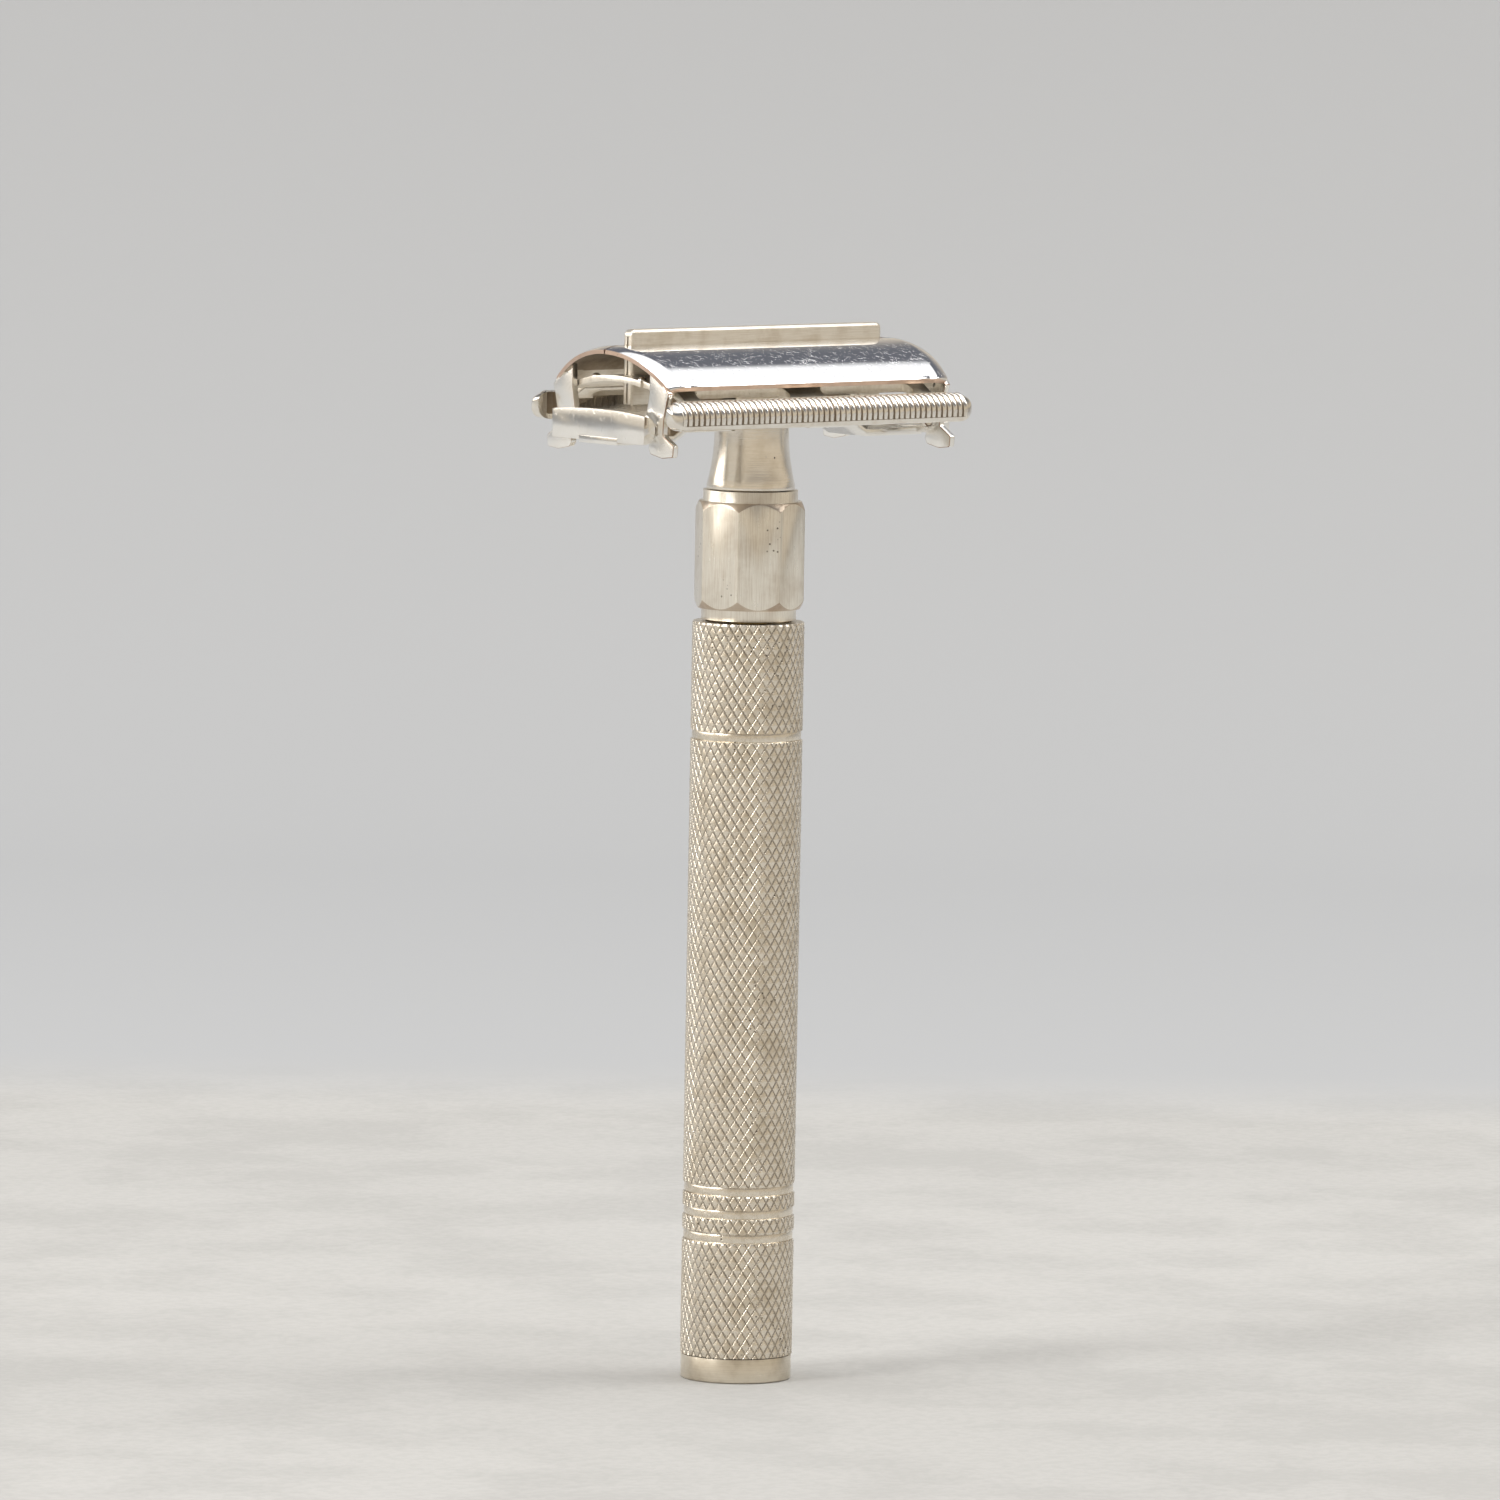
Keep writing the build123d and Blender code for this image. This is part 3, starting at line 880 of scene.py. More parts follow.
def knurl_recipe() -> Recipe:
    """Build the tree that cuts two sets of crossing grooves round a tube.

    Returns:
        The recipe: one band of knurl from Foot to Top.
    """
    number = "NodeSocketFloat"
    recipe = Recipe(
        "knurl_band",
        {
            "Foot": number,
            "Top": number,
            "Crest Radius": number,
            "Depth": number,
            "Starts": number,
            "Cell Height": number,
            "Row Height": number,
            "Flat Share": number,
            "Around": "NodeSocketInt",
            "Rows": "NodeSocketInt",
        },
    )
    foot, top = recipe.given("Foot"), recipe.given("Top")
    grid = recipe.add(
        "GeometryNodeMeshGrid",
        None,
        {
            "Size X": 1.0,
            "Size Y": 1.0,
            "Vertices X": recipe.given("Around") + 1,
            "Vertices Y": recipe.given("Rows") + 1,
        },
    )
    place = recipe.add("GeometryNodeInputPosition").outputs[0]
    axes = recipe.add("ShaderNodeSeparateXYZ", None, {0: place})
    around = recipe.value(axes.outputs[0]) + 0.5
    row = ((recipe.value(axes.outputs[1]) + 0.5) * recipe.given("Rows")).math("ROUND")
    first = (foot / recipe.given("Row Height")).math("FLOOR")
    level = ((first + row) * recipe.given("Row Height")).most(foot).least(top)
    lead = level / recipe.given("Cell Height")
    turns = around * recipe.given("Starts")
    ridge = (turns + lead).fold().most((turns - lead).fold())
    flat = recipe.given("Flat Share")
    cut = ((ridge - flat) / (1 - flat)).most(0.0)
    past_foot = (level - foot).math("GREATER_THAN", 0.001)
    under_top = (top - level).math("GREATER_THAN", 0.001)
    cut = cut.most(1 - past_foot * under_top)
    radius = recipe.given("Crest Radius") - recipe.given("Depth") * cut
    angle = around * (2 * math.pi)
    shaped = recipe.add(
        "ShaderNodeCombineXYZ",
        None,
        {
            0: radius * angle.math("COSINE") * MM,
            1: radius * angle.math("SINE") * MM,
            2: level * MM,
        },
    )
    moved = recipe.add(
        "GeometryNodeSetPosition",
        None,
        {"Geometry": grid.outputs["Mesh"], "Position": shaped.outputs[0]},
    )
    welded = recipe.add(
        "GeometryNodeMergeByDistance", None, {"Geometry": moved.outputs[0]}
    )
    welded.inputs["Distance"].default_value = 2e-7
    recipe.end(welded.outputs[0])
    return recipe


def row_recipe() -> Recipe:
    """Build the tree that sets one rib down a row, each a little different.

    Returns:
        The recipe.
    """
    number = "NodeSocketFloat"
    recipe = Recipe(
        "rib_row",
        {
            "Rib": "NodeSocketObject",
            "Count": "NodeSocketInt",
            "Pitch": number,
            "Wear": number,
            "Wander": number,
            "Seed": "NodeSocketInt",
        },
    )
    half = (recipe.given("Count") - 1) * recipe.given("Pitch") * -0.5
    start = recipe.add("ShaderNodeCombineXYZ", None, {0: half})
    step = recipe.add("ShaderNodeCombineXYZ", None, {0: recipe.given("Pitch")})
    line = recipe.add(
        "GeometryNodeMeshLine",
        None,
        {
            "Count": recipe.given("Count"),
            "Start Location": start.outputs[0],
            "Offset": step.outputs[0],
        },
    )
    seed = recipe.given("Seed")
    shift = recipe.add(
        "FunctionNodeRandomValue",
        {"data_type": "FLOAT"},
        {2: recipe.given("Wander") * -1, 3: recipe.given("Wander"), "Seed": seed},
    )
    offset = recipe.add("ShaderNodeCombineXYZ", None, {0: shift.outputs[1]})
    spots = recipe.add(
        "GeometryNodeSetPosition",
        None,
        {"Geometry": line.outputs[0], "Offset": offset.outputs[0]},
    )
    width = recipe.add(
        "FunctionNodeRandomValue",
        {"data_type": "FLOAT"},
        {2: 1 - recipe.given("Wear"), 3: 1 + recipe.given("Wear"), "Seed": seed + 7},
    )
    scale = recipe.add(
        "ShaderNodeCombineXYZ", None, {0: width.outputs[1], 1: 1.0, 2: 1.0}
    )
    source = recipe.add(
        "GeometryNodeObjectInfo", None, {"Object": recipe.entry.outputs["Rib"]}
    )
    placed = recipe.add(
        "GeometryNodeInstanceOnPoints",
        None,
        {
            "Points": spots.outputs[0],
            "Instance": source.outputs["Geometry"],
            "Scale": scale.outputs[0],
        },
    )
    recipe.end(placed.outputs[0])
    return recipe


def merged(
    name: str, meshes: Iterable[bpy.types.Mesh], join: float = 0.0
) -> bpy.types.Mesh:
    """Put several meshes in one, keeping their material numbers.

    Args:
        name: The new mesh's name.
        meshes: What goes in it.
        join: Points nearer than this, in millimetres, become one.

    Returns:
        The merged mesh.
    """
    work = bmesh.new()
    for mesh in meshes:
        work.from_mesh(mesh)
    if join:
        bmesh.ops.remove_doubles(work, verts=work.verts, dist=join * MM)
    mesh = bpy.data.meshes.new(name)
    work.to_mesh(mesh)
    work.free()
    return mesh


# ================================================================ handle
@dataclass
class Handle:
    """The knurled sleeve, the plain cap under it and the drive inside."""

    palette: Palette
    foot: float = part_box("handle_sleeve")[0].z / MM
    top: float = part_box("handle_sleeve")[1].z / MM
    crest: float = 6.1
    depth: float = 0.11
    flat_share: float = 0.5     # how much of a diamond is worn flat
    bore: float = 4.7
    starts: int = KNURL_STARTS
    cell: float = KNURL_CELL
    samples: int = 6            # mesh steps across one diamond
    ring_width: float = 1.0
    ring_root: float = 5.86     # radius at a plain ring's edges
    ring_swell: float = 0.09    # how much its middle stands out
    ring_fullness: float = 0.6  # power of the swell; less is squarer
    ring_steps: int = 10
    ring_levels: tuple[float, ...] = (15.8, 18.45, 20.95)
    ring_drop: float = 12.3     # the single ring, down from the sleeve's top

    def rings(self) -> list[tuple[float, float]]:
        """Give the foot and top of each plain ring."""
        levels = (*self.ring_levels, self.top - self.ring_drop)
        half = self.ring_width / 2
        return [(level - half, level + half) for level in levels]

    def bands(self) -> list[tuple[float, float]]:
        """Give the foot and top of each stretch of knurl."""
        edges = [self.foot, *(e for ring in self.rings() for e in ring), self.top]
        return list(zip(edges[::2], edges[1::2]))

    def plain_parts(self) -> bpy.types.Mesh:
        """Make the turned rings and the inside of the tube.

        Returns:
            The mesh.
        """
        root = self.crest - self.depth
        count = self.starts * self.samples
        shell = Shell()
        for low, high in self.rings():
            rows = [circle(root, low, count)]
            for i in range(self.ring_steps + 1):
                share = i / self.ring_steps
                swell = math.sin(math.pi * i / self.ring_steps) ** self.ring_fullness
                radius = self.ring_root + self.ring_swell * swell
                rows.append(circle(radius, low + share * (high - low), count))
            rows.append(circle(root, high, count))
            shell.grid(rows, ring=True)
        inside = [
            (root, self.top), (self.bore, self.top),
            (self.bore, self.foot), (root, self.foot),
        ]
        shell.grid([circle(r, z, count) for r, z in inside], ring=True)
        return shell.mesh("sleeve_plain", join=0.0)

    def build(self) -> None:
        """Make the sleeve, then dress the cap and the drive."""
        recipe = knurl_recipe()
        row = self.cell / self.samples
        parts = [self.plain_parts()]
        for number, (low, high) in enumerate(self.bands()):
            rows = math.ceil(high / row) - math.floor(low / row)
            parts.append(
                recipe.grow(
                    f"knurl_{number}",
                    {
                        "Foot": low,
                        "Top": high,
                        "Crest Radius": self.crest,
                        "Depth": self.depth,
                        "Starts": float(self.starts),
                        "Cell Height": self.cell,
                        "Row Height": row,
                        "Flat Share": self.flat_share,
                        "Around": self.starts * self.samples,
                        "Rows": rows,
                        "Finish": self.palette.knurl,
                    },
                )
            )
        mesh = merged("sleeve", parts, join=0.0005)
        with edited(mesh) as work:
            bmesh.ops.recalc_face_normals(work, faces=work.faces)
        sleeve = show(mesh, "knurled_sleeve", [self.palette.knurl], crease=18.0)
        settle(sleeve, "handle", ["handle_sleeve"])
        cap = show(Softener(0.05).mesh("end_cap"), "foot_cap", [self.palette.cap])
        settle(cap, "handle", ["end_cap"])
        for node in ("screw_socket", "lead_screw"):
            dress_node(node, self.palette.brass)
        dress_node("drive_pin", self.palette.steel)


def dress_node(node: str, material: bpy.types.Material) -> None:
    """Give a CAD node that stays as it is its material.

    Args:
        node: The CAD node.
        material: The finish.
    """
    mesh = frame["nodes"][node].data
    mesh.materials.clear()
    mesh.materials.append(material)
    LOG.info("%s: kept from the frame", node)


# ================================================================ collar, neck
@dataclass
class Stem:
    """The octagonal collar and the forked neck above it."""

    palette: Palette
    rim: float = 5.22           # radius outside which a sloping face is a chamfer
    slope: tuple[float, float] = (0.30, 0.97)   # how upright its normal may be

    def build(self) -> None:
        """Soften and dress the stem's pieces."""
        shape = Softener(0.06).mesh("collar")
        least, most = self.slope
        for face in shape.polygons:
            out = face.center.xy.length / MM
            if least < abs(face.normal.z) < most and out > self.rim:
                face.material_index = SECOND_FINISH
        finishes = [self.palette.collar, self.palette.chamfer]
        collar = show(shape, "octagon_collar", finishes)
        settle(collar, "head_frame", ["collar"])
        neck = show(Softener(0.05).mesh("neck"), "waisted_neck", [self.palette.neck])
        settle(neck, "head_frame", ["neck"])
        dress_node("neck_rivets", self.palette.neck)
        dress_node("thrust_washer", self.palette.steel)
        dress_node("retaining_ring", self.palette.steel)


# ================================================================ guard
class GuardFace(IntEnum):
    """The guard plate's material slots."""

    RIBS = 0
    VALLEYS = 1
    BED = 2


@dataclass
class Guard:
    """The blade bed with its bridges, two ribbed bars and four studs."""

    palette: Palette
    half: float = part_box("guard_plate")[1].x / MM
    outer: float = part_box("guard_plate")[1].y / MM
    low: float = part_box("guard_plate")[0].z / MM - CROWN
    width: float = 3.05
    top: float = -5.4
    nose: float = 1.7           # rounding of the upper outer edge
    keel: float = 0.55          # rounding of the other long edges
    rib_height: float = 0.16
    rib_width: float = 0.56
    rib_pitch: float = 0.76
    rib_end: float = 1.25       # plain stretch at each end of a bar
    rim: float = 0.60           # plain strip under the ribs
    rib_inset: float = 0.8      # where a rib starts, from a bar's inner edge
    rib_sides: int = 7          # points across a rib
    rib_sink: float = 0.015     # how far its feet go into the bar
    rib_fade: float = 0.15      # share of its height at its two ends
    rib_wear: float = 0.10      # how much the ribs differ in width
    rib_wander: float = 0.03    # how far a rib is out of place
    taper: float = 2.0          # length of a bar's domed end
    dome: float = 2.4           # power of the dome; 2 is round, more is squarer
    dome_least: float = 0.02    # share of the section that is left at the tip
    hub_out: float = 0.62       # where the dome closes, as a share of the width
    hub_drop: float = 1.25      # and how far under the bar's top
    relief: float = 1.1         # depth of the notch that lets an ear pass
    relief_from: float = 19.03  # where along the bar it starts
    cut_inset: float = 0.35     # where the bed ends, from a bar's inner edge
    cut_past: float = 2.0       # how far the cutting block reaches past the bar
    cut_half: float = 30.0

    def section(self, steps: int = 8) -> list[tuple[float, float]]:
        """Give a bar's outline, outwards from the head's middle and up.

        The list starts where the top meets the nose, and runs down the nose,
        round the two lower edges and back up the inner side.

        Args:
            steps: Points round each corner.

        Returns:
            The outline's points.
        """
        inner = self.outer - self.width
        skin = self.rib_height
        high, low = self.top - skin, self.low
        face = self.outer - skin
        corners = (
            (face - self.nose, high - self.nose, self.nose, 90),
            (face - self.keel, low + self.keel, self.keel, 0),
            (inner + self.keel, low + self.keel, self.keel, -90),
            (inner + self.keel, high - self.keel, self.keel, 180),
        )
        outline = []
        for y, z, radius, start in corners:
            for i in range(steps + 1):
                angle = math.radians(start - 90 * i / steps)
                outline.append(
                    (y + radius * math.cos(angle), z + radius * math.sin(angle))
                )
        return outline

    def bar(self) -> bpy.types.Mesh:
        """Make the plain body of the rear bar, with domed, notched ends.

        Returns:
            The mesh.
        """
        outline = self.section()
        inner = self.outer - self.width
        hub_y = inner + self.width * self.hub_out
        hub_z = self.top - self.hub_drop
        start = self.half - self.taper
        ends = [
            start + self.taper * math.sin(math.radians(a)) for a in range(0, 91, 6)
        ]
        notch = [self.relief_from - 0.01, self.relief_from + 0.01]
        ribbed = self.half - self.rib_end
        stations = sorted({round(x, 4) for x in (*ends, *notch, ribbed)})
        stations = [-x for x in reversed(stations)] + stations
        rows = []
        for x in stations:
            t = max(0.0, (abs(x) - start) / self.taper)
            size = (1 - min(t, 1.0) ** self.dome) ** (1 / self.dome)
            size = max(size, self.dome_least)
            floor = inner + self.relief if abs(x) > self.relief_from else -math.inf
            row = []
            for y, z in outline:
                y = hub_y + (y - hub_y) * size
                z = hub_z + (z - hub_z) * size
                row.append((x, max(y, floor), z + CROWN))
            rows.append(row)
        shell = Shell()
        shell.grid(rows, ring=True)
        shell.lid(rows[0])
        shell.lid(rows[-1])
        mesh = shell.mesh("bar_body")
        floor = (CROWN + self.low + self.rim) * MM
        back = (inner + self.rib_inset) * MM
        # the bar's faces where the ribs stand take the painted valley shade, which shows
        # between them
        for face in mesh.polygons:
            spot = face.center
            if abs(spot.x) < ribbed * MM and spot.z > floor and spot.y > back:
                face.material_index = GuardFace.VALLEYS
        return mesh

    def rib(self) -> bpy.types.Mesh:
        """Make one rib that bends over the bar's nose.

        Returns:
            The mesh.
        """
        steps = 12
        path = self.section(steps)[: steps + 1]
        path.insert(0, (self.outer - self.width + self.rib_inset, path[0][1]))
        path.append((path[-1][0], self.low + self.rim))
        rows = []
        last = len(path) - 1
        for i, (y, z) in enumerate(path):
            before, after = path[max(i - 1, 0)], path[min(i + 1, last)]
            along = Vector((after[0] - before[0], after[1] - before[1])).normalized()
            out = Vector((-along.y, along.x))
            fade = self.rib_fade if i in (0, last) else 1.0
            row = []
            for k in range(self.rib_sides):
                angle = math.pi * k / (self.rib_sides - 1)
                x = -math.cos(angle) * self.rib_width / 2
                lift = math.sin(angle) * self.rib_height * fade - self.rib_sink
                row.append((x, y + out.x * lift, z + out.y * lift + CROWN))
            rows.append(row)
        shell = Shell()
        shell.grid(rows)
        shell.lid(rows[0])
        shell.lid(rows[-1])
        shell.grid([[r[0] for r in rows], [r[-1] for r in rows]])
        return shell.mesh("rib")

    def ribs(self) -> bpy.types.Mesh:
        """Set the ribs along the rear bar.

        Returns:
            The mesh.
        """
        rib = holder_of(self.rib(), "rib_pattern")
        count = int(2 * (self.half - self.rib_end) / self.rib_pitch) + 1
        mesh = row_recipe().grow(
            "ribs",
            {
                "Rib": rib,
                "Count": count,
                "Pitch": self.rib_pitch * MM,
                "Wear": self.rib_wear,
                "Wander": self.rib_wander * MM,
                "Seed": 5,
                "Finish": self.palette.guard,
            },
        )
        bpy.data.objects.remove(rib)
        slots = [GuardFace.RIBS] * len(mesh.polygons)
        mesh.polygons.foreach_set("material_index", slots)
        return mesh

    def knife(self) -> bpy.types.Mesh:
        """Make the two blocks that cut the CAD's plain bars off the bed.

        Returns:
            The mesh.
        """
        blocks = Shell()
        edge = self.outer - self.width + self.cut_inset
        low, high = CROWN + self.low - self.cut_past, CROWN + self.cut_past
        for side in (-1, 1):
            base, tip = side * edge, side * (self.outer + self.cut_past)
            ring = [(base, low), (tip, low), (tip, high), (base, high)]
            ends = (-self.cut_half, self.cut_half)
            rows = [[(x, y, z) for y, z in ring] for x in ends]
            blocks.grid(rows, ring=True)
            blocks.lid(rows[0])
            blocks.lid(rows[1])
        return blocks.mesh("bar_cut")

    def build(self) -> None:
        """Join bed, bars and ribs, then dress the studs."""
        blade = holder_of(self.knife(), "bar_cut")
        bed = Softener(0.06).mesh("guard_plate", cut=blade)
        bpy.data.objects.remove(blade)
        slots = [GuardFace.BED] * len(bed.polygons)
        bed.polygons.foreach_set("material_index", slots)
        parts = [bed]
        for source in (self.bar(), self.ribs()):
            twin = source.copy()
            twin.transform(Matrix.Rotation(math.pi, 4, "Z"))
            parts.extend((source, twin))
        finishes = [self.palette.guard, self.palette.shaded_guard_valley, self.palette.bed]
        plate = show(
            merged("guard", parts), "ribbed_guard", finishes, crease=40.0, flat_above=60.0
        )
        settle(plate, "head_frame", ["guard_plate"])
        studs = show(
            Softener(0.04).mesh("blade_studs"), "bed_studs", [self.palette.bright]
        )
        settle(studs, "head_frame", ["blade_studs"])


# ================================================================ carriage
@dataclass
class Carriage:
    """The rising ridge, its cross bar, the end tabs and the hinge pins."""

    palette: Palette

    def build(self) -> None:
        """Soften and dress the carriage's pieces."""
        plan = (
            ("spine", "raised_spine", self.palette.spine, "spine_nickel", 0.12),
            # the carrier under the doors takes the painted interior shade
            ("spine_carrier", "spine_stem", self.palette.inner, "inner_nickel", 0.05),
            ("cross_bar", "lift_bar", self.palette.bright, "bright_nickel", 0.10),
            ("left_end_tab", "left_tab", self.palette.bright, "bright_nickel", 0.14),
            ("right_end_tab", "right_tab", self.palette.bright, "bright_nickel", 0.14),
            ("hinge_pins", "door_pins", self.palette.steel, "steel", 0.05),
        )
        for node, name, material, slot, width in plan:
            worn = node.endswith("tab")
            finishes = [material, self.palette.worn] if worn else [material]
            made = show(Softener(width, 3).mesh(node, worn=worn), name, finishes)
            settle(made, "carriage", [node])
        dress_node("lift_rod", self.palette.brass)
        # the rivet inside the head takes the painted interior shade
        dress_node("rod_rivet", self.palette.inner)


# ================================================================ doors
class Side(Enum):
    """Which side of the head a door is on."""

    FRONT = -1
    REAR = 1


class DoorFace(IntEnum):
    """A door's material slots."""

    OUTSIDE = 0
    INSIDE = 1
    # the underside of the sheet, in painted shade
    EDGE = 2
    PLATED_INSIDE = 3


@dataclass
class Door:
    """One arched door of thin sheet with rolled ends, and its two ears."""

    palette: Palette
    side: Side
    half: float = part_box("front_door")[1].x / MM
    reach: float = -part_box("front_door")[0].y / MM
    rise: float = 3.95          # height of the arch
    sheet: float = 0.65         # thickness
    bow: float = 1.1            # how much shorter the lower edge is, each end
    corner: float = 0.5         # rounding of the lower corners
    seam: float = 0.12          # upper edge to the middle plane, past the spine
    gap: float = 0.9            # and beside the spine
    gap_end: float = 17.85      # where the one becomes the other
    roll: float = 1.8           # length of the rolled end
    roll_drop: float = 0.42     # how far the outside of a rolled end sinks
    roll_under: float = 0.22    # and the inside
    roll_power: float = 1.7
    lip_from: float = 0.965     # share of the arc where the lower edge turns in
    lip_drop: float = 0.12
    lip_rows: int = 9           # rows of points in the last tenth of the arc
    edge_rows: int = 2          # of these, how many show the worn edge
    unshaded_rows: int = 12         # rows of the inside, by the lower edge, in plain plated nickel; the rest take the painted shade
    arc_rows: int = 30          # rows that would fill the arc without the lip's
    inner_columns: int = 12     # beside the spine, each way from the middle
    outer_columns: int = 22     # and past its ends

    def end_at(self, y: float) -> float:
        """Give how far the door reaches along the head.

        Args:
            y: The distance from the head's middle plane.

        Returns:
            The door's half length there.
        """
        t = y / self.reach
        end = self.half - self.bow * (0.08 * t + 0.92 * t * t)
        over = max(0.0, y - (self.reach - self.corner))
        return end - (self.corner - math.sqrt(max(self.corner**2 - over**2, 0.0)))

    def columns(self) -> list[float]:
        """Give the shares of the length where the door's sheet has points.

        Returns:
            The shares, closer together towards the rolled ends.
        """
        notch = self.gap_end / self.half
        step = 0.0006
        left = 1 - step - notch
        shares = []
        for i in range(self.inner_columns + 1):
            shares.append(notch * i / self.inner_columns)
        for i in range(self.outer_columns + 1):
            shares.append(notch + step + left * (i / self.outer_columns) ** 0.8)
        return [-s for s in reversed(shares[1:])] + shares

    def layer(self, depth: float, drop: float) -> list[list[Point]]:
        """Make one face of the sheet.

        Args:
            depth: How far under the outer surface it lies.
            drop: How far the rolled ends sink.

        Returns:
            Rows of points from the seam to the lower edge.
        """
        outer = (self.reach**2 + self.rise**2) / (2 * self.rise)
        axis = CROWN - outer
        radius = outer - depth
        steps = [(i / self.arc_rows) ** 0.85 for i in range(self.arc_rows - 3)]
        for i in range(1, self.lip_rows + 1):
            steps.append(0.90 + 0.1 * math.sin(math.pi / 2 * i / self.lip_rows))
        rows = []
        for t in steps:
            row = []
            for share in self.columns():
                wide = self.gap if abs(share) * self.half <= self.gap_end else self.seam
                first = math.asin(wide / radius)
                turn = first + (math.asin(self.reach / outer) - first) * t
                end = self.end_at(outer * math.sin(turn))
                x = share * end
                near = (end - abs(x)) / self.roll
                sink = drop * max(0.0, 1 - near) ** self.roll_power
                lip = max(0.0, (t - self.lip_from) / (1 - self.lip_from))
                sink += self.lip_drop * lip**2 if depth == 0 else 0.0
                r = radius - sink
                row.append(
                    (x, self.side.value * r * math.sin(turn), axis + r * math.cos(turn))
                )
            rows.append(row)
        return rows

    def build(self) -> None:
        """Make the sheet, then soften and dress the ears."""
        name = self.side.name.lower()
        top = self.layer(0.0, self.roll_drop)
        under = self.layer(self.sheet, self.roll_under)
        shell = Shell()
        bare = self.edge_rows + 1
        shell.grid(top[: -self.edge_rows], DoorFace.OUTSIDE)
        shell.grid(top[-bare:], DoorFace.EDGE)
        pale = self.unshaded_rows + 1
        # the underside takes the painted shade of the enclosed head, except its last rows
        # by the lower edge
        shell.grid(under[: -self.unshaded_rows], DoorFace.INSIDE)
        shell.grid(under[-pale:], DoorFace.PLATED_INSIDE)
        for upper, lower in ((top[0], under[0]), (top[-1], under[-1])):
            shell.grid([upper, lower], DoorFace.EDGE)
        for column in (0, -1):
            sides = [[row[column] for row in layer] for layer in (top, under)]
            shell.grid(sides, DoorFace.EDGE)
        metals = self.palette
        finishes = [metals.chrome, metals.inner, metals.edge, metals.bed]
        door = show(
            shell.mesh(f"{name}_sheet"),
            f"{name}_chrome_door",
            finishes,
            crease=38.0,
            flat_above=60.0,
        )
        settle(door, f"{name}_door", [f"{name}_door"])
        node = f"{name}_door_ears"
        ears = show(
            Softener(0.15, 3).mesh(node, worn=True),
            f"{name}_ears",
            [self.palette.ear, self.palette.worn],
        )
        settle(ears, f"{name}_door", [node])


# ================================================================ studio
@dataclass(frozen=True)
class Lamp:
    """A rectangular lamp that looks at the razor."""

    name: str
    place: Point                # in metres, as its size
    size: tuple[float, float]
    power: float                # watts
    colour: Colour
    target: Point = (0.0, 0.0, 0.07)

    def hang(self) -> None:
        """Put the lamp in the scene."""
        data = bpy.data.lights.new(self.name, "AREA")
        data.shape = "RECTANGLE"
        data.size, data.size_y = self.size
        data.energy = self.power
        data.color = self.colour
        lamp = bpy.data.objects.new(self.name, data)
        toward = Vector(self.target) - Vector(self.place)
        turned = toward.to_track_quat("-Z", "Y").to_matrix().to_4x4()
        lamp.matrix_world = Matrix.Translation(self.place) @ turned
        bpy.context.scene.collection.objects.link(lamp)


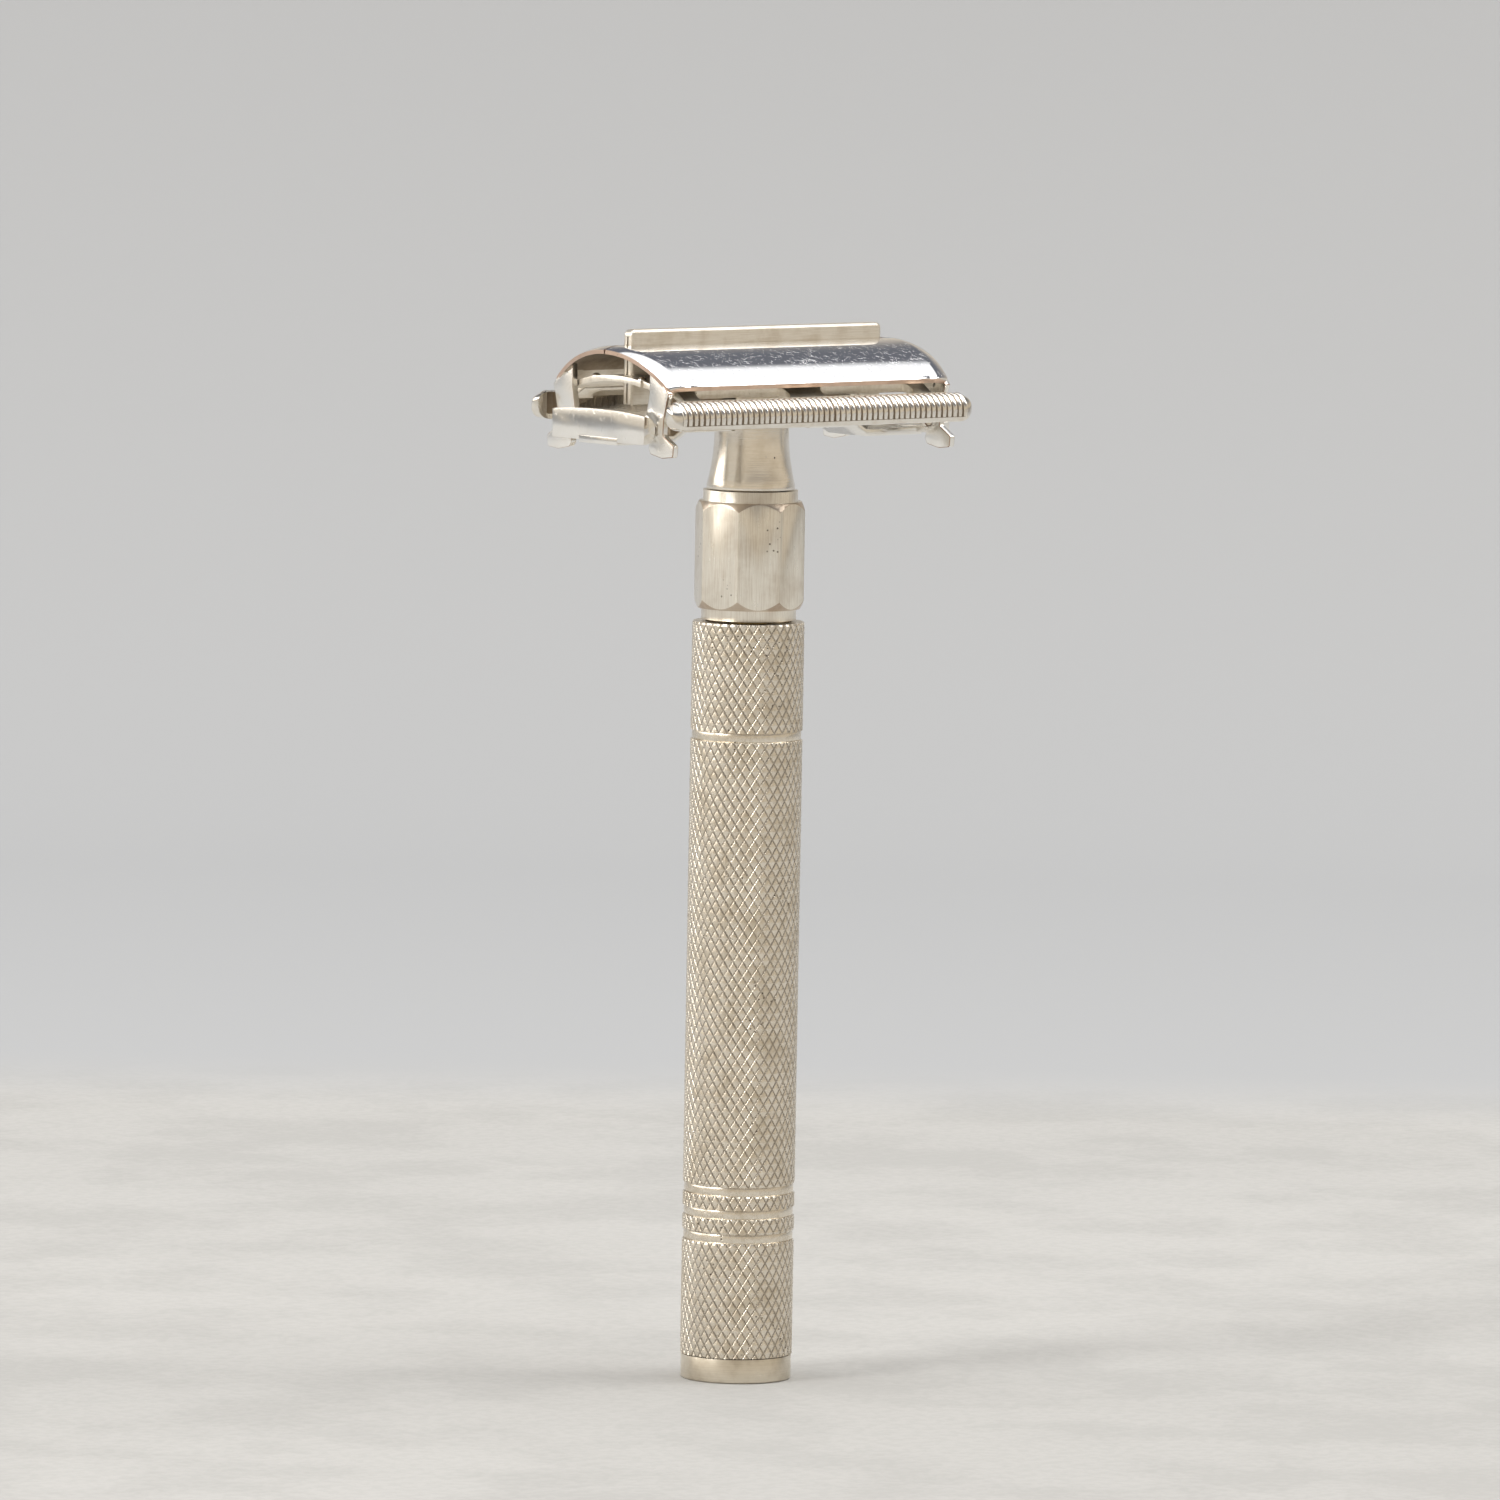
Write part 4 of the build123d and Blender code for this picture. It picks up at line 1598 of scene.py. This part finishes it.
@dataclass
class Studio:
    """A pale table top before a grey wall, soft light and the camera."""

    azimuth: float = -39.99     # degrees, as the elevation
    elevation: float = 5.52
    distance: float = 1401.0
    aim_level: float = 60.0
    roll: float = 0.0173        # radians
    lens: float = 309.482
    sensor: float = 36.0
    clip: tuple[float, float] = (0.05, 30.0)    # metres
    aim_right: float = 0.56     # the view's middle, right of the aim
    aim_up: float = 8.6         # the view's middle, above the aim
    table_depth: float = 270.0  # from the razor to where the table fades
    fade: float = 35.0          # half the length of that fade
    wall: float = 820.0         # from the razor to the wall
    sweep: float = 270.0        # radius of the curve from table to wall
    sweep_steps: int = 24
    front: float = 1600.0       # how far the table comes forward
    across: float = 4000.0      # half its width
    room_strength: float = 1.1
    lamps: tuple[Lamp, ...] = (
        Lamp("top_box", (0.30, -0.20, 1.2), (0.9, 0.9), 9.0, (1.0, 0.99, 0.97)),
        Lamp("left_box", (-1.1, 0.1, 0.8), (0.4, 0.8), 9.0, (1.0, 0.99, 0.98)),
        Lamp("front_box", (0.90, -0.65, 0.96), (0.5, 0.5), 3.0, (1.0, 0.99, 0.97)),
        Lamp("rear_box", (-0.9, 1.0, 0.6), (1.0, 0.7), 6.0, (1.0, 0.99, 0.98)),
    )

    def back(self) -> Vector:
        """Give the direction from the razor to the camera.

        Returns:
            A vector of length 1.
        """
        a, e = math.radians(self.azimuth), math.radians(self.elevation)
        return Vector(
            (math.sin(a) * math.cos(e), -math.cos(a) * math.cos(e), math.sin(e))
        )

    def camera(self) -> None:
        """Place the camera."""
        back = self.back()
        a = math.radians(self.azimuth)
        right = Vector((math.cos(a), math.sin(a), 0.0))
        up = back.cross(right)
        c, s = math.cos(self.roll), math.sin(self.roll)
        right, up = right * c + up * s, up * c - right * s
        target = Vector((0, 0, self.aim_level * MM))
        place = target + back * self.distance * MM
        middle = target + right * self.aim_right * MM + up * self.aim_up * MM
        look = (place - middle).normalized()
        right = up.cross(look).normalized()
        up = look.cross(right)
        data = bpy.data.cameras.new("studio_camera")
        data.sensor_width = self.sensor
        data.lens = self.lens
        data.clip_start, data.clip_end = self.clip
        camera = bpy.data.objects.new("studio_camera", data)
        turned = Matrix((right, up, look)).transposed().to_4x4()
        camera.matrix_world = Matrix.Translation(place) @ turned
        bpy.context.scene.collection.objects.link(camera)
        bpy.context.scene.camera = camera

    def stage(self) -> None:
        """Make the table top and the wall."""
        away = (-self.back()).xy.normalized().to_3d()
        side = Vector((away.y, -away.x, 0.0)) * self.across
        profile = [(-self.front, 0.0)]
        for i in range(self.sweep_steps + 1):
            angle = math.radians(90 * i / self.sweep_steps)
            along = self.wall - self.sweep * (1 - math.sin(angle))
            profile.append((along, self.sweep * (1 - math.cos(angle))))
        rows = []
        for along, level in profile:
            spot = away * along + Vector((0, 0, level))
            rows.append([tuple(spot - side), tuple(spot + side)])
        shell = Shell()
        shell.grid(rows)
        mesh = shell.mesh("stage")
        finish = Plain(
            "pale_stone", (0.47, 0.46, 0.44), (0.405, 0.408, 0.412),
            (self.table_depth - self.fade) * MM,
            (self.table_depth + self.fade) * MM,
            tuple(away),
        )
        floor = show(mesh, "table_and_wall", [finish.material()])
        mesh.polygons.foreach_set("use_smooth", [True] * len(mesh.polygons))
        with edited(mesh) as work:
            if sum(f.normal.z for f in work.faces) < 0:
                bmesh.ops.reverse_faces(work, faces=work.faces)

    def sky(self) -> None:
        """Make the room round the stage, by elevation."""
        world = bpy.data.worlds.new("room")
        world.use_nodes = True
        bpy.context.scene.world = world
        bench = ShaderBench(world.node_tree)
        where = bench.add("ShaderNodeTexCoord").outputs["Generated"]
        axes = bench.add("ShaderNodeSeparateXYZ", None, {0: where})
        height = bench.value(axes.outputs[2])
        low = bench.blend(
            (0.62, 0.55, 0.45), (0.14, 0.145, 0.165), height.between(0.15, 0.58)
        )
        full = bench.blend(low, (1.0, 1.0, 1.0), height.between(0.69, 0.73))
        backdrop = world.node_tree.nodes["Background"]
        feed(bench.tree, backdrop.inputs["Color"], full)
        backdrop.inputs["Strength"].default_value = self.room_strength

    def build(self) -> None:
        """Set up camera, stage, lamps and room."""
        bpy.context.scene.view_settings.view_transform = "Standard"
        self.camera()
        self.stage()
        self.sky()
        for lamp in self.lamps:
            lamp.hang()
        LOG.info("studio ready")


def main() -> None:
    """Build the razor's sub-assemblies and the studio, in order."""
    logging.basicConfig(level=logging.INFO, format="%(name)s: %(message)s")
    palette = Palette()
    Handle(palette).build()
    Stem(palette).build()
    Guard(palette).build()
    Carriage(palette).build()
    for side in Side:
        Door(palette, side).build()
    Studio().build()


if __name__ == "__main__":
    main()
